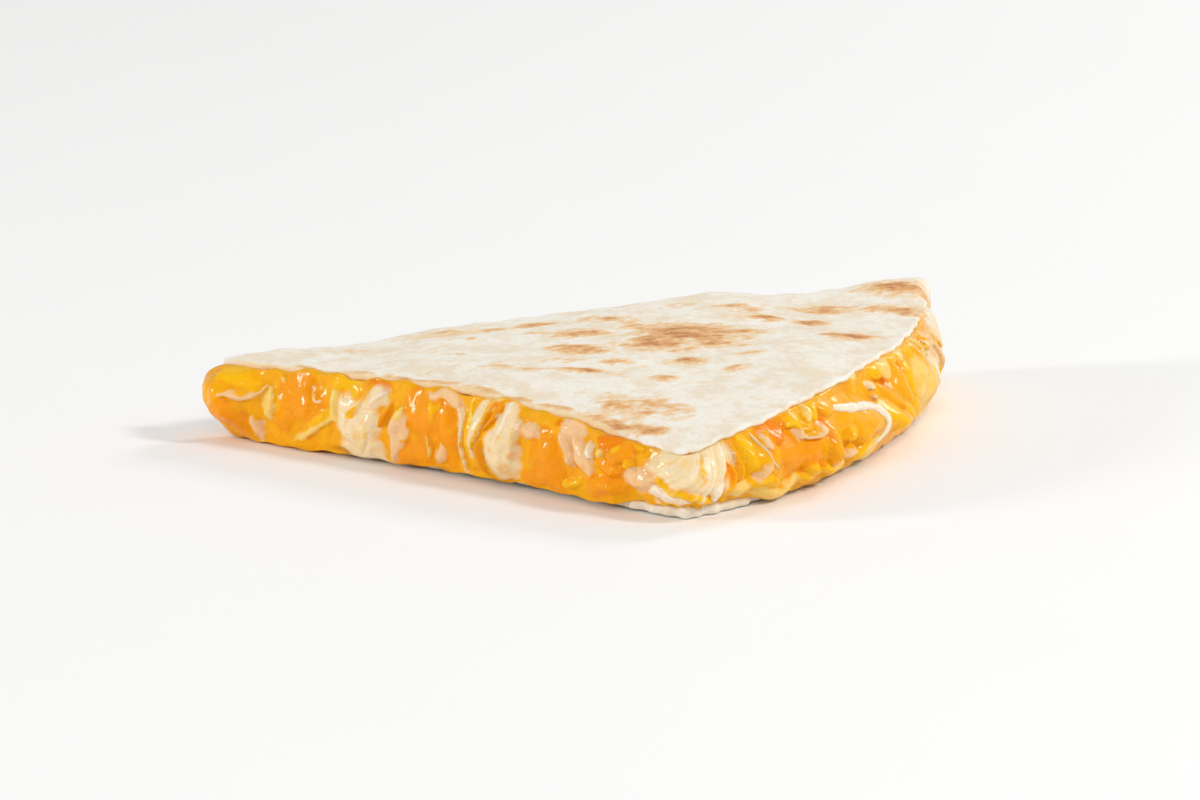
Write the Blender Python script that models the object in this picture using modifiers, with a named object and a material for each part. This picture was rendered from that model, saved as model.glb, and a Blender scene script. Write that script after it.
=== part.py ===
"""A wedge of a folded quesadilla: one flour tortilla folded in half over melted cheese.

The fold runs along X at the back. The left side is the knife cut, and the right side is the
tortilla's own round edge. Both layers and the fold between them are one sheet, and the cheese is
one body that fills the fold and swells out past both open sides. The wedge lies on its flat lower
layer, with its origin at the bottom centre of its box.
"""

import math

import bmesh
import bpy
from mathutils import Vector

MM = 0.001

# Plan, in millimetres, from the left corner where the cut meets the fold.
FOLD_LENGTH = 109.0
CUT_LENGTH = 86.0
ARC_CHORD = 100.0
ARC_BOW = 8.8
CUT_HOLLOW = 2.0
TIP_ROUND = 3.5
PLAN_CENTRE = Vector((53.7, -34.2))

# Height of the upper face above the board, and how the upper layer swells and falls, in
# millimetres. Each swell is a round rise or dip with its middle at x, y.
HEIGHT_LEFT = 12.6
HEIGHT_RIGHT = 14.4
TIP_FALL = 2.4
TIP_REACH = 20.0
CUT_FALL = 1.0
ARC_FALL = 0.5
SIDE_REACH = 9.0
SWELLS = (
    # x, y, rise, reach
    (64.0, -6.0, 1.3, 22.0),
    (76.0, -1.0, 0.9, 9.0),
    (30.0, -32.0, 0.9, 24.0),
    (17.0, -3.0, -1.0, 10.0),
    (90.0, -12.0, -0.6, 13.0),
    (52.0, -46.0, -0.5, 12.0),
    (74.0, -38.0, 0.7, 13.0),
    (110.0, 0.0, 1.9, 15.0),
)

# The tortilla, in millimetres. Its fold bulges back less at the ends. At the left end the sheet
# steps back towards its lower layer, and at the right end the fold bulges outwards.
THICKNESS = 1.5
EDGE_THINNING = 0.6
THINNING_ROWS = 3.0
FOLD_DEPTH = 5.6
LEFT_FOLD_DEPTH = 1.6
RIGHT_FOLD_DEPTH = 4.4
LEFT_RETREAT = 4.5
RIGHT_BULGE = 1.6
END_SHARE = 0.12
END_STEP = 4.5
CUT_LIFT = 0.9
ARC_LIFT = 0.6
LIFT_REACH = 13.0
LIFT_SKEW = 1.6
SHEET_COLUMNS = 36
LAYER_ROWS = 12
FOLD_ROWS = 10
ROW_CROWDING = 1.3
COLUMN_CROWDING = 0.45

# The cheese, in millimetres. Places are lengths along the open edge from the left corner, round
# the tip, to the right corner. A lip is where the cheese passes a rim of the tortilla.
GAP = 0.4
LIP_HEIGHT = 0.4
LIP_OUT = 0.55
LIP_WALL = 0.25
STEP_LENGTH = 4.0
SMEARED_FROM = 3.0
SMEARED_TO = 74.0
BARE_FROM = 77.0
BARE_TO = 97.0
RIGHT_RISES = 170.0
RIGHT_TUCKS = 176.0
TOP_RECESS = 0.7
INNER_RECESS = 1.6
FIRST_PLACE = 1.5
LAST_MARGIN = 3.0
CUT_SWELL = 0.7
ARC_SWELL = 1.5
SWELL_CHANGE = 14.0
BELLY_POWER = 0.6
CORNER_BASE = Vector((1.5, -1.6))
CORNER_SWELL = 4.6
CORNER_SKEW = 1.5
CORNER_LENGTH = 8.0
CORNER_LIP = 0.9
CORNER_TURN = (125.0, 205.0)
THROAT = Vector((3.6, -2.6))
FOLD_SPAN = (0.95, 0.12)
FOLD_CLEARANCE = 0.2
CORNER_STATIONS = 6
OPEN_STATIONS = 66
BACK_STATIONS = 17
FILLING_CENTRE = Vector((52.0, -28.0))
FLOOR_RINGS = 5
WALL_ROWS = 9
STATION_ROWS = WALL_ROWS + 4
LUMPS = (
    # place along the edge, height 0..1, half length, half height, swell
    (15.0, 0.45, 6.0, 0.40, 0.7),
    (28.0, 0.35, 4.5, 0.40, 1.0),
    (40.0, 0.70, 6.0, 0.40, 0.6),
    (51.0, 0.45, 4.5, 0.45, 1.2),
    (61.0, 0.55, 4.0, 0.45, 0.7),
    (75.0, 0.78, 4.5, 0.25, 1.5),
    (76.0, 0.20, 5.0, 0.25, 1.0),
    (88.0, 0.50, 5.0, 0.50, 0.9),
    (95.5, 0.80, 2.5, 0.40, -0.8),
    (101.0, 0.50, 4.0, 0.40, 1.7),
    (107.5, 0.65, 2.5, 0.40, -0.7),
    (114.0, 0.50, 6.0, 0.45, 2.6),
    (127.0, 0.90, 6.0, 0.20, -1.4),
    (136.0, 0.36, 10.0, 0.24, 3.0),
    (148.0, 0.85, 7.0, 0.20, 1.0),
    (157.0, 0.45, 8.0, 0.30, 1.6),
    (173.0, 0.60, 6.0, 0.40, 0.8),
)


def tip_corner():
    """Sharp front corner, from the three sides of the wedge's triangle."""
    along = (FOLD_LENGTH**2 + CUT_LENGTH**2 - ARC_CHORD**2) / (2.0 * FOLD_LENGTH)
    return Vector((along, -math.sqrt(CUT_LENGTH**2 - along**2)))


TIP = tip_corner()
RIGHT_CORNER = Vector((FOLD_LENGTH, 0.0))
CUT_ALONG = TIP.normalized()
CUT_OUT = Vector((CUT_ALONG.y, -CUT_ALONG.x))
ARC_ALONG = (RIGHT_CORNER - TIP).normalized()
ARC_OUT = Vector((ARC_ALONG.y, -ARC_ALONG.x))
EDGE_LENGTH = CUT_LENGTH + ARC_CHORD


def mix(a, b, share):
    return a + (b - a) * share


def smooth(value):
    """Smooth step from 0 to 1 as value goes from 0 to 1."""
    t = min(1.0, max(0.0, value))
    return t * t * (3.0 - 2.0 * t)


def hump(share):
    """Parabola that is 0 at both ends and 1 in the middle."""
    t = min(1.0, max(0.0, share))
    return 4.0 * t * (1.0 - t)


def edge_point(place):
    """Point of the open edge: the cut side, the rounded tip and the bowed side, by length."""
    past = place - CUT_LENGTH
    root = math.hypot(past, TIP_ROUND)
    back = 0.5 * (past - root)
    ahead = 0.5 * (past + root)
    point = TIP + CUT_ALONG * back + ARC_ALONG * ahead
    point -= CUT_OUT * CUT_HOLLOW * hump(-back / CUT_LENGTH)
    point += ARC_OUT * ARC_BOW * hump(ahead / ARC_CHORD)
    return point


def edge_out(place):
    """Unit vector that points out of the wedge at a place of the open edge."""
    step = 0.5
    along = (edge_point(place + step) - edge_point(place - step)).normalized()
    return Vector((along.y, -along.x))


def side_distances(point):
    """How far a point of the plan lies inside the cut side and inside the bowed side."""
    share = point.dot(CUT_ALONG) / CUT_LENGTH
    from_cut = -point.dot(CUT_OUT) - CUT_HOLLOW * hump(share)
    ahead = (point - TIP).dot(ARC_ALONG) / ARC_CHORD
    from_arc = ARC_BOW * hump(ahead) - (point - TIP).dot(ARC_OUT)
    return from_cut, from_arc


def top_height(point):
    """Height of the upper face over a point of the plan."""
    height = mix(HEIGHT_LEFT, HEIGHT_RIGHT, point.x / FOLD_LENGTH)
    for x, y, rise, reach in SWELLS:
        height += rise * math.exp(-((point - Vector((x, y))).length / reach) ** 2)
    height -= TIP_FALL * math.exp(-((point - TIP).length / TIP_REACH) ** 2)
    from_cut, from_arc = side_distances(point)
    height -= CUT_FALL * (1.0 - smooth(from_cut / SIDE_REACH))
    return height - ARC_FALL * (1.0 - smooth(from_arc / SIDE_REACH))


def lower_lift(point):
    """How far the lower face curls up off the board, which is only along its open sides."""
    from_cut, from_arc = side_distances(point)
    along_cut = hump(max(0.0, point.dot(CUT_ALONG) / CUT_LENGTH) ** LIFT_SKEW)
    along_arc = hump((point - TIP).dot(ARC_ALONG) / ARC_CHORD)
    near_cut = min(1.0, max(0.0, 1.0 - from_cut / LIFT_REACH)) ** 2
    near_arc = min(1.0, max(0.0, 1.0 - from_arc / LIFT_REACH)) ** 2
    return CUT_LIFT * along_cut * near_cut + ARC_LIFT * along_arc * near_arc


def fold_depth(across):
    """How far the fold bulges back, less at its two ends."""
    left = mix(LEFT_FOLD_DEPTH, FOLD_DEPTH, smooth(across / END_SHARE))
    right = mix(RIGHT_FOLD_DEPTH, FOLD_DEPTH, smooth((1.0 - across) / END_SHARE))
    return min(left, right)


def end_shift(across, turn):
    """Sideways shift of the sheet's ends round the fold: back at the left, out at the right."""
    at_left = 1.0 - smooth(across / END_SHARE)
    at_right = 1.0 - smooth((1.0 - across) / END_SHARE)
    retreat = LEFT_RETREAT * math.sin(0.5 * math.pi * turn) * at_left
    return retreat + RIGHT_BULGE * math.sin(math.pi * turn) * at_right


def crowded(share):
    """Shares 0..1 drawn together near both ends and the middle, where the outline turns."""
    return share - COLUMN_CROWDING * math.sin(4.0 * math.pi * share) / (4.0 * math.pi)


def sheet_point(across, lap):
    """Point of the tortilla's outer face.

    across runs 0..1 from the left end to the right. lap runs 0..1 over the upper layer from its
    open edge to the fold, 1..2 down round the fold, and 2..3 under the lower layer to its edge.
    """
    on_fold = Vector((FOLD_LENGTH * across, 0.0))
    turn = min(1.0, max(0.0, lap - 1.0))
    if 1.0 < lap < 2.0:
        angle = math.pi * (0.5 - turn)
        half = 0.5 * top_height(on_fold)
        back = fold_depth(across) * math.cos(angle)
        x = on_fold.x + end_shift(across, turn)
        return Vector((x, back, half + half * math.sin(angle)))
    from_edge = lap if lap <= 1.0 else 3.0 - lap
    reach = 1.0 - from_edge**ROW_CROWDING
    open_edge = edge_point(mix(END_STEP, EDGE_LENGTH - END_STEP, across))
    point = mix(on_fold, open_edge, reach)
    point.x += end_shift(across, turn)
    height = top_height(point) if lap <= 1.0 else lower_lift(point)
    return Vector((point.x, point.y, height))


def lump_swell(place, height):
    """Total swell of the lumps of cheese at a place along the edge and a height 0..1."""
    total = 0.0
    for at, level, half_length, half_height, swell in LUMPS:
        off = ((place - at) / half_length) ** 2 + ((height - level) / half_height) ** 2
        total += swell * math.exp(-off)
    return total


def filling_floor(point):
    return lower_lift(point) + THICKNESS + GAP


def filling_ceiling(point):
    return top_height(point) - THICKNESS - GAP


def step_up(place, start):
    """Smooth step from 0 to 1 over one step length from a place of the open edge."""
    return smooth((place - start) / STEP_LENGTH)


def belly(share):
    """Rounded profile of the filling's wall, 0 at its foot and its top."""
    return hump(share) ** BELLY_POWER


def open_station(base, out, place, corner):
    """Rows of the filling from its floor to its ceiling where it shows at an open side.

    The cheese hangs over the lower rim, except at the tip and the right end, where the rim is bare.
    On the cut side it is also smeared up over the upper rim, and elsewhere it stops just under the
    upper layer. Over a rim it first rises clear of it and then draws in, never both at once.
    """
    bare = step_up(place, BARE_FROM) * (1.0 - step_up(place, BARE_TO - STEP_LENGTH))
    bare = max(bare, step_up(place, RIGHT_RISES))
    low_out = mix(LIP_OUT, -CORNER_LIP, corner)
    low_out = mix(low_out, -TOP_RECESS, step_up(place, RIGHT_TUCKS))
    smear_out = step_up(place, SMEARED_FROM) * (1.0 - step_up(place, SMEARED_TO - STEP_LENGTH))
    smear_up = step_up(place, SMEARED_FROM + STEP_LENGTH)
    smear_up *= 1.0 - step_up(place, SMEARED_TO - 2.0 * STEP_LENGTH)
    high_out = mix(-TOP_RECESS, LIP_OUT, smear_out)
    swell = mix(CUT_SWELL, ARC_SWELL, smooth((place - CUT_LENGTH) / SWELL_CHANGE))

    inward = (FILLING_CENTRE - base).normalized()
    inner = base + inward * INNER_RECESS
    lip = base + out * low_out
    rows = [Vector((*inner, filling_floor(inner))), Vector((*lip, filling_floor(lip)))]
    for row in range(WALL_ROWS):
        share = row / (WALL_ROWS - 1.0)
        distance = mix(low_out, high_out, share) + LIP_WALL
        distance += belly(share) * (swell + lump_swell(place, share))
        distance += belly(share**CORNER_SKEW) * CORNER_SWELL * corner
        point = base + out * distance
        low = lower_lift(point) + mix(LIP_HEIGHT, THICKNESS + GAP, bare)
        high = top_height(point) - mix(THICKNESS + GAP, LIP_HEIGHT, smear_up)
        rows.append(Vector((*point, mix(low, high, share))))
    lip = base + out * (high_out - 0.5 * LIP_WALL)
    inner = base + inward * (INNER_RECESS + TOP_RECESS)
    rows += [Vector((*lip, filling_ceiling(lip))), Vector((*inner, filling_ceiling(inner)))]
    return rows


def back_station(across):
    """Rows of the filling from its floor to its ceiling inside the fold."""
    on_fold = Vector((FOLD_LENGTH * across, 0.0))
    half = 0.5 * top_height(on_fold)
    depth = fold_depth(across) - THICKNESS - GAP - FOLD_CLEARANCE
    rows = []
    for row in range(STATION_ROWS):
        angle = math.pi * (row / (STATION_ROWS - 1.0) - 0.5)
        back = depth * math.cos(angle)
        height = half + (half - THICKNESS - GAP) * math.sin(angle)
        rows.append(Vector((on_fold.x, back, height)))
    return rows


def throat_station():
    """Upright rows where the filling passes the left end of the fold on its way out."""
    rows = []
    for row in range(STATION_ROWS):
        share = row / (STATION_ROWS - 1.0)
        rows.append(Vector((*THROAT, mix(filling_floor(THROAT), filling_ceiling(THROAT), share))))
    return rows


def filling_stations():
    """Every upright section of the filling's wall, counter-clockwise from the left corner."""
    stations = []
    for number in range(OPEN_STATIONS):
        share = number / (OPEN_STATIONS - 1.0)
        place = mix(FIRST_PLACE, EDGE_LENGTH - LAST_MARGIN, share)
        corner = 1.0 - smooth((place - FIRST_PLACE) / CORNER_LENGTH)
        stations.append(open_station(edge_point(place), edge_out(place), place, corner))
    for number in range(BACK_STATIONS):
        stations.append(back_station(mix(*FOLD_SPAN, number / (BACK_STATIONS - 1.0))))
    stations.append(throat_station())
    for number in range(CORNER_STATIONS):
        angle = math.radians(mix(*CORNER_TURN, number / (CORNER_STATIONS - 1.0)))
        out = Vector((math.cos(angle), math.sin(angle)))
        stations.append(open_station(CORNER_BASE, out, 0.0, 1.0))
    return stations


def filling_rings(station):
    """All rows of a station: rings in from the floor's middle, the wall, and rings back."""
    floor_edge = station[0].xy
    ceiling_edge = station[-1].xy
    rows = []
    for ring in range(1, FLOOR_RINGS):
        point = mix(FILLING_CENTRE, floor_edge, ring / FLOOR_RINGS)
        rows.append(Vector((*point, filling_floor(point))))
    rows += station
    for ring in range(FLOOR_RINGS - 1, 0, -1):
        point = mix(FILLING_CENTRE, ceiling_edge, ring / FLOOR_RINGS)
        rows.append(Vector((*point, filling_ceiling(point))))
    return rows


def in_metres(point):
    return Vector((point.x - PLAN_CENTRE.x, point.y - PLAN_CENTRE.y, point.z)) * MM


def flour_tortilla_material():
    material = bpy.data.materials.new("flour_tortilla")
    material.use_nodes = True
    shader = material.node_tree.nodes["Principled BSDF"]
    shader.inputs["Base Color"].default_value = (0.83, 0.74, 0.60, 1.0)
    shader.inputs["Roughness"].default_value = 0.75
    shader.inputs["Metallic"].default_value = 0.0
    return material


def melted_cheese_material():
    material = bpy.data.materials.new("melted_cheese")
    material.use_nodes = True
    shader = material.node_tree.nodes["Principled BSDF"]
    shader.inputs["Base Color"].default_value = (0.86, 0.45, 0.08, 1.0)
    shader.inputs["Roughness"].default_value = 0.28
    shader.inputs["Metallic"].default_value = 0.0
    return material


def finish_object(name, shape, material, collection):
    """Turn a bmesh into a smooth-shaded object of the wedge."""
    mesh = bpy.data.meshes.new(name)
    shape.to_mesh(mesh)
    shape.free()
    mesh.materials.append(material)
    mesh.shade_smooth()
    piece = bpy.data.objects.new(name, mesh)
    collection.objects.link(piece)
    return piece


def make_tortilla(collection):
    """Folded sheet: its outer face as an open surface, thickened inwards."""
    shape = bmesh.new()
    rows = 2 * LAYER_ROWS + FOLD_ROWS
    bmesh.ops.create_grid(shape, x_segments=SHEET_COLUMNS, y_segments=rows, size=1.0)
    laps = [row / LAYER_ROWS for row in range(LAYER_ROWS)]
    laps += [1.0 + row / FOLD_ROWS for row in range(FOLD_ROWS)]
    laps += [2.0 + row / LAYER_ROWS for row in range(LAYER_ROWS + 1)]
    for vertex in shape.verts:
        across = crowded(0.5 * (vertex.co.x + 1.0))
        row = round(0.5 * (vertex.co.y + 1.0) * rows)
        vertex.co = in_metres(sheet_point(across, laps[row]))
    bmesh.ops.recalc_face_normals(shape, faces=shape.faces)
    piece = finish_object("tortilla", shape, flour_tortilla_material(), collection)
    body = piece.vertex_groups.new(name="full_thickness")
    for vertex in piece.data.vertices:
        row = vertex.index // (SHEET_COLUMNS + 1)
        from_edge = min(row, rows - row)
        body.add([vertex.index], smooth(from_edge / THINNING_ROWS), "REPLACE")
    shell = piece.modifiers.new("thickness", "SOLIDIFY")
    shell.thickness = THICKNESS * MM
    shell.offset = -1.0
    shell.use_even_offset = True
    shell.vertex_group = body.name
    shell.thickness_vertex_group = EDGE_THINNING
    return piece


def make_cheese(collection):
    """Filling: a sphere's rows and columns laid out as the floor, wall and ceiling."""
    stations = [filling_rings(station) for station in filling_stations()]
    columns = len(stations)
    bands = len(stations[0]) + 1
    shape = bmesh.new()
    bmesh.ops.create_uvsphere(shape, u_segments=columns, v_segments=bands, radius=1.0)
    for vertex in shape.verts:
        row = round((0.5 + math.asin(max(-1.0, min(1.0, vertex.co.z))) / math.pi) * bands)
        if row == 0:
            point = Vector((*FILLING_CENTRE, filling_floor(FILLING_CENTRE)))
        elif row == bands:
            point = Vector((*FILLING_CENTRE, filling_ceiling(FILLING_CENTRE)))
        else:
            turn = math.atan2(-vertex.co.x, vertex.co.y) / math.tau
            point = stations[round(turn * columns) % columns][row - 1]
        vertex.co = in_metres(point)
    return finish_object("cheese_filling", shape, melted_cheese_material(), collection)


def main():
    for old in list(bpy.data.objects):
        bpy.data.objects.remove(old, do_unlink=True)
    collection = bpy.data.collections.new("quesadilla_wedge")
    bpy.context.scene.collection.children.link(collection)
    make_tortilla(collection)
    make_cheese(collection)


main()
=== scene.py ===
"""A wedge of folded quesadilla: one toasted flour tortilla over two melted cheeses."""
import math

import bmesh
import bpy
import numpy as np
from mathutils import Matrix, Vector


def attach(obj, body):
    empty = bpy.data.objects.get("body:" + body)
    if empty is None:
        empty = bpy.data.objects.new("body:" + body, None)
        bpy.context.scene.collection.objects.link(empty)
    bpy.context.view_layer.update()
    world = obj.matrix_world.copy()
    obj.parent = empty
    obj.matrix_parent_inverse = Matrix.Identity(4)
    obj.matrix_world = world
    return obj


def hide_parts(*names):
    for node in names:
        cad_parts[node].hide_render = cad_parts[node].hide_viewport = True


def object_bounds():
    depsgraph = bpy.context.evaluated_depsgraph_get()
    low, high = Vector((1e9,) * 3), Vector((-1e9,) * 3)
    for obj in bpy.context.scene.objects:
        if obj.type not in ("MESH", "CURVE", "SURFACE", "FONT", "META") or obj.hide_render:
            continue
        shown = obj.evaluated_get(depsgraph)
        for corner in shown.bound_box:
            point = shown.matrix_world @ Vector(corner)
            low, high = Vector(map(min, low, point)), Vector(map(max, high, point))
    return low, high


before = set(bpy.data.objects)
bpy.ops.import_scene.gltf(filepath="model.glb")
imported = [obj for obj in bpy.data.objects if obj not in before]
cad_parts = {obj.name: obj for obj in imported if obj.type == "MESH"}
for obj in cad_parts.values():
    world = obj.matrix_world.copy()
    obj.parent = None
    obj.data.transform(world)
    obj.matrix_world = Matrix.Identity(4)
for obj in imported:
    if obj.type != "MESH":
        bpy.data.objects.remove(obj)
cad_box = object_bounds()


# ---------------------------------------------------------------------------------------------
# Camera. A long lens low over the table. It stands a little to the left, so that the knife cut
# faces it and the round edge runs away to the right.
VIEW_TURN = math.radians(-20.5)
VIEW_RISE = math.radians(12.6)
VIEW_DISTANCE = 1.09
LENS = 232.0
AIM_RISE = 0.0005
FRAME_SHIFT = -0.05

low_corner, high_corner = (Vector(corner) for corner in cad_box)
aim = (low_corner + high_corner) / 2.0 + Vector((0.0, 0.0, AIM_RISE))
towards_eye = Vector((math.sin(VIEW_TURN) * math.cos(VIEW_RISE),
                      -math.cos(VIEW_TURN) * math.cos(VIEW_RISE),
                      math.sin(VIEW_RISE)))
camera_data = bpy.data.cameras.new("camera")
camera_data.lens = LENS
camera_data.sensor_width = 36.0
camera_data.shift_x = FRAME_SHIFT
camera_data.clip_start = 0.01
camera = bpy.data.objects.new("camera", camera_data)
camera.location = aim + towards_eye * VIEW_DISTANCE
camera.rotation_euler = towards_eye.to_track_quat("Z", "Y").to_euler()
bpy.context.scene.collection.objects.link(camera)
bpy.context.scene.camera = camera


# ---------------------------------------------------------------------------------------------
# Light and table. A white room, a bright soft box high at the right, weaker ones at the left, in
# front and behind, and a plain pale table top of matt paper. Colours are shown as given.
ROOM_LIGHT = 0.50
SOFT_BOXES = (
    # name, where it stands from the wedge, its side, watts
    ("right_soft_box", Vector((0.70, -0.60, 0.75)), 0.20, 5.2),
    ("left_soft_box", Vector((-1.05, 0.17, 0.32)), 0.18, 3.8),
    ("front_soft_box", Vector((-0.40, -1.05, 0.60)), 0.26, 2.2),
    ("back_soft_box", Vector((0.85, 0.50, 0.60)), 0.28, 3.0),
)
TABLE_SIDE = 6.0
TABLE_COLOUR = (0.97, 0.967, 0.96)
TABLE_MOTTLE = 0.985

bpy.context.scene.view_settings.view_transform = "Standard"
room = bpy.data.worlds.new("room")
room.use_nodes = True
room.node_tree.nodes["Background"].inputs["Color"].default_value = (1.0, 1.0, 1.0, 1.0)
room.node_tree.nodes["Background"].inputs["Strength"].default_value = ROOM_LIGHT
bpy.context.scene.world = room

for name, stand, side, watts in SOFT_BOXES:
    light_data = bpy.data.lights.new(name, "AREA")
    light_data.shape = "SQUARE"
    light_data.size = side
    light_data.energy = watts
    light = bpy.data.objects.new(name, light_data)
    light.location = aim + stand
    light.rotation_euler = stand.to_track_quat("Z", "Y").to_euler()
    bpy.context.scene.collection.objects.link(light)


class Signal:
    """One output of a shader node. Arithmetic on it adds Math nodes to its finish."""

    def __init__(self, finish, socket):
        self.finish = finish
        self.socket = socket

    def math(self, operation, *others):
        """One Math node on this output and others, which are signals or numbers."""
        return self.finish.node("ShaderNodeMath", {"operation": operation}, {
            number: value for number, value in enumerate((self, *others))})

    def __add__(self, other):
        return self.math("ADD", other)

    def __sub__(self, other):
        return self.math("SUBTRACT", other)

    def __mul__(self, other):
        return self.math("MULTIPLY", other)

    def __rsub__(self, other):
        return (self * -1.0) + other

    __radd__ = __add__
    __rmul__ = __mul__

    def step(self, start, end):
        """Smooth step: 0 below start, 1 above end."""
        return self.finish.node("ShaderNodeMapRange", {"interpolation_type": "SMOOTHSTEP"},
                                {"Value": self, "From Min": start, "From Max": end})


class Finish:
    """A material: its shader, and one way to add any node to it."""

    def __init__(self, name):
        self.material = bpy.data.materials.new(name)
        self.material.use_nodes = True
        self.tree = self.material.node_tree
        self.shader = self.tree.nodes["Principled BSDF"]

    def join(self, socket, value):
        """A signal is linked to the socket. A number or a colour is set on it."""
        if isinstance(value, Signal):
            self.tree.links.new(value.socket, socket)
        elif isinstance(value, tuple) and socket.type == "RGBA":
            socket.default_value = (*value, 1.0)
        else:
            socket.default_value = value

    def set(self, name, value):
        """Puts a signal, a number or a colour on the shader's own socket."""
        self.join(self.shader.inputs[name], value)

    def node(self, kind, settings, inputs, output=0):
        """Adds a node: first its settings, then its sockets. Returns one of its outputs."""
        new = self.tree.nodes.new(kind)
        for key, value in settings.items():
            setattr(new, key, value)
        for key, value in inputs.items():
            self.join(new.inputs[key], value)
        return Signal(self, new.outputs[output])

    def place(self):
        """Place on the object, in metres."""
        return self.node("ShaderNodeTexCoord", {}, {}, "Object")

    def noise(self, size, detail=3.0, stretch=(1.0, 1.0, 1.0), rough=0.5):
        """Cloudy noise around 0.5 with spots about size millimetres across."""
        spread = self.node("ShaderNodeMapping", {"vector_type": "TEXTURE"},
                           {"Vector": self.place(), "Scale": stretch})
        return self.node("ShaderNodeTexNoise", {}, {
            "Vector": spread, "Scale": 1000.0 / size, "Detail": detail, "Roughness": rough})

    def mark(self, name, output="Fac"):
        """A value or colour that the mesh carries at each of its points."""
        return self.node("ShaderNodeAttribute", {"attribute_name": name}, {}, output)

    def mix(self, share, first, second):
        """First colour where share is 0, second where it is 1."""
        return self.node("ShaderNodeMix", {"data_type": "RGBA"},
                         {0: share, 6: first, 7: second}, 2)

    def bump(self, height, depth):
        """Relief of the given depth in millimetres, read from a height of 0 to 1."""
        self.set("Normal", self.node("ShaderNodeBump", {}, {
            "Height": height, "Distance": depth * 0.001, "Strength": 1.0}))


table_paper = Finish("table_paper")
table_paper.set("Roughness", 0.8)
table_paper.set("Base Color", table_paper.mix(
    table_paper.noise(60.0), TABLE_COLOUR, tuple(TABLE_MOTTLE * part for part in TABLE_COLOUR)))
table_mesh = bpy.data.meshes.new("table")
half_table = TABLE_SIDE / 2.0
table_mesh.from_pydata([(-half_table, -half_table, 0.0), (half_table, -half_table, 0.0),
                        (half_table, half_table, 0.0), (-half_table, half_table, 0.0)],
                       [], [(0, 1, 2, 3)])
table_mesh.materials.append(table_paper.material)
table = bpy.data.objects.new("table", table_mesh)
bpy.context.scene.collection.objects.link(table)


# ---------------------------------------------------------------------------------------------
# Tortilla. One thin round flour tortilla folded in half, the fold at the back. Its outer face is
# one sheet, and the wall is given to it inwards, round at every rim. It is dry and floury, with
# blisters that browned in the pan.

# Plan, in millimetres from the corner between fold and knife cut. The fold runs along +X and the
# tip points to -Y. Places in the plan are complex numbers.
FOLD_LENGTH = 109.0
CUT_LENGTH = 86.0
ARC_CHORD = 100.0
ARC_BOW = 8.8
CUT_HOLLOW = 2.0
TIP_ROUND = 3.5
LOWER_TIP_ROUND = 5.6
PLAN_CENTRE = 53.7 - 34.2j

# Upper face: its slope, its falls to the tip, the sides and the right end, and its swells.
HEIGHT_LEFT = 12.6
HEIGHT_RIGHT = 14.4
TIP_FALL = 1.9
TIP_REACH = 20.0
CUT_FALL = 1.0
ARC_FALL = 0.5
SIDE_REACH = 9.0
END_FALL = 3.6
END_FALL_FROM = 0.84
END_FALL_REACH = 2.4
END_FALL_START = 1.4
END_FALL_LENGTH = 4.0
SWELLS = (
    # where, rise, reach
    (64.0 - 6.0j, 1.3, 22.0),
    (76.0 - 1.0j, 0.9, 9.0),
    (30.0 - 32.0j, 0.9, 24.0),
    (17.0 - 3.0j, -1.0, 10.0),
    (90.0 - 12.0j, -0.6, 13.0),
    (52.0 - 46.0j, -0.5, 12.0),
    (74.0 - 38.0j, 0.7, 13.0),
    (110.0 + 0.0j, 1.9, 15.0),
)

# Wall, rims, fold and the lift of the lower layer.
THICKNESS = 1.5
RIM_THICKNESS = 0.9
THINNING_REACH = 9.0
CURL_THICKNESS = 1.9
CURL_RAGGED = 0.24
CURL_RAGGED_LENGTHS = (9.0, 5.1, 2.6)
CURL_RAGGED_SEED = 9
CURL_WOBBLE = 0.20
CURL_AT = 87.5
CURL_REACH = 13.0
RIM_ROUND = 0.5
SOAK_REACH = 2.6
SOAK_TO = 68.0
SOAK_FADE = 8.0
FOLD_DEPTH = 5.6
LEFT_FOLD_DEPTH = 1.6
RIGHT_FOLD_DEPTH = 4.4
LEFT_RETREAT = 4.5
RIGHT_BULGE = 1.6
END_SHARE = 0.12
END_STEP = 4.5
CUT_LIFT = 0.9
ARC_LIFT = 0.6
LIFT_REACH = 13.0
LIFT_SKEW = 1.6

# Grid of the sheet, crowded at the rims.
MIDDLE_LAP = 1.5
LAST_LAP = 3.0
TOP_TO_LAP = 1.25
BOTTOM_FROM_LAP = 1.8
LAP_BLEND = 0.2
ROW_CROWDING = 1.3
COLUMN_CROWDING = 0.45
SHEET_COLUMNS = 240
UPPER_ROWS = 92
FOLD_ROWS = 20
LOWER_ROWS = 56
ROW_CLOSENESS = 1.22

# Unevenness of the rims and of the faces.
RIM_WOBBLE = 0.25
RIM_WOBBLE_LENGTHS = (23.0, 11.0, 6.1, 3.4)
RIM_WOBBLE_SEED = 5
LOWER_RIM_OFFSET = 40.0
WAVE_RISE = 0.16
WAVE_LENGTHS = (5.0, 19.0)
WAVES = 26
WAVE_SEED = 3
PHASE_SPAN = 6.3
TOP_WAVE_LEVEL = 0.8
BACK_WAVE_LEVEL = 1.4
BLISTER_RISE = 0.30
RELIEF_REACH = 4.0
RELIEF_AT_RIM = 0.25

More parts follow.
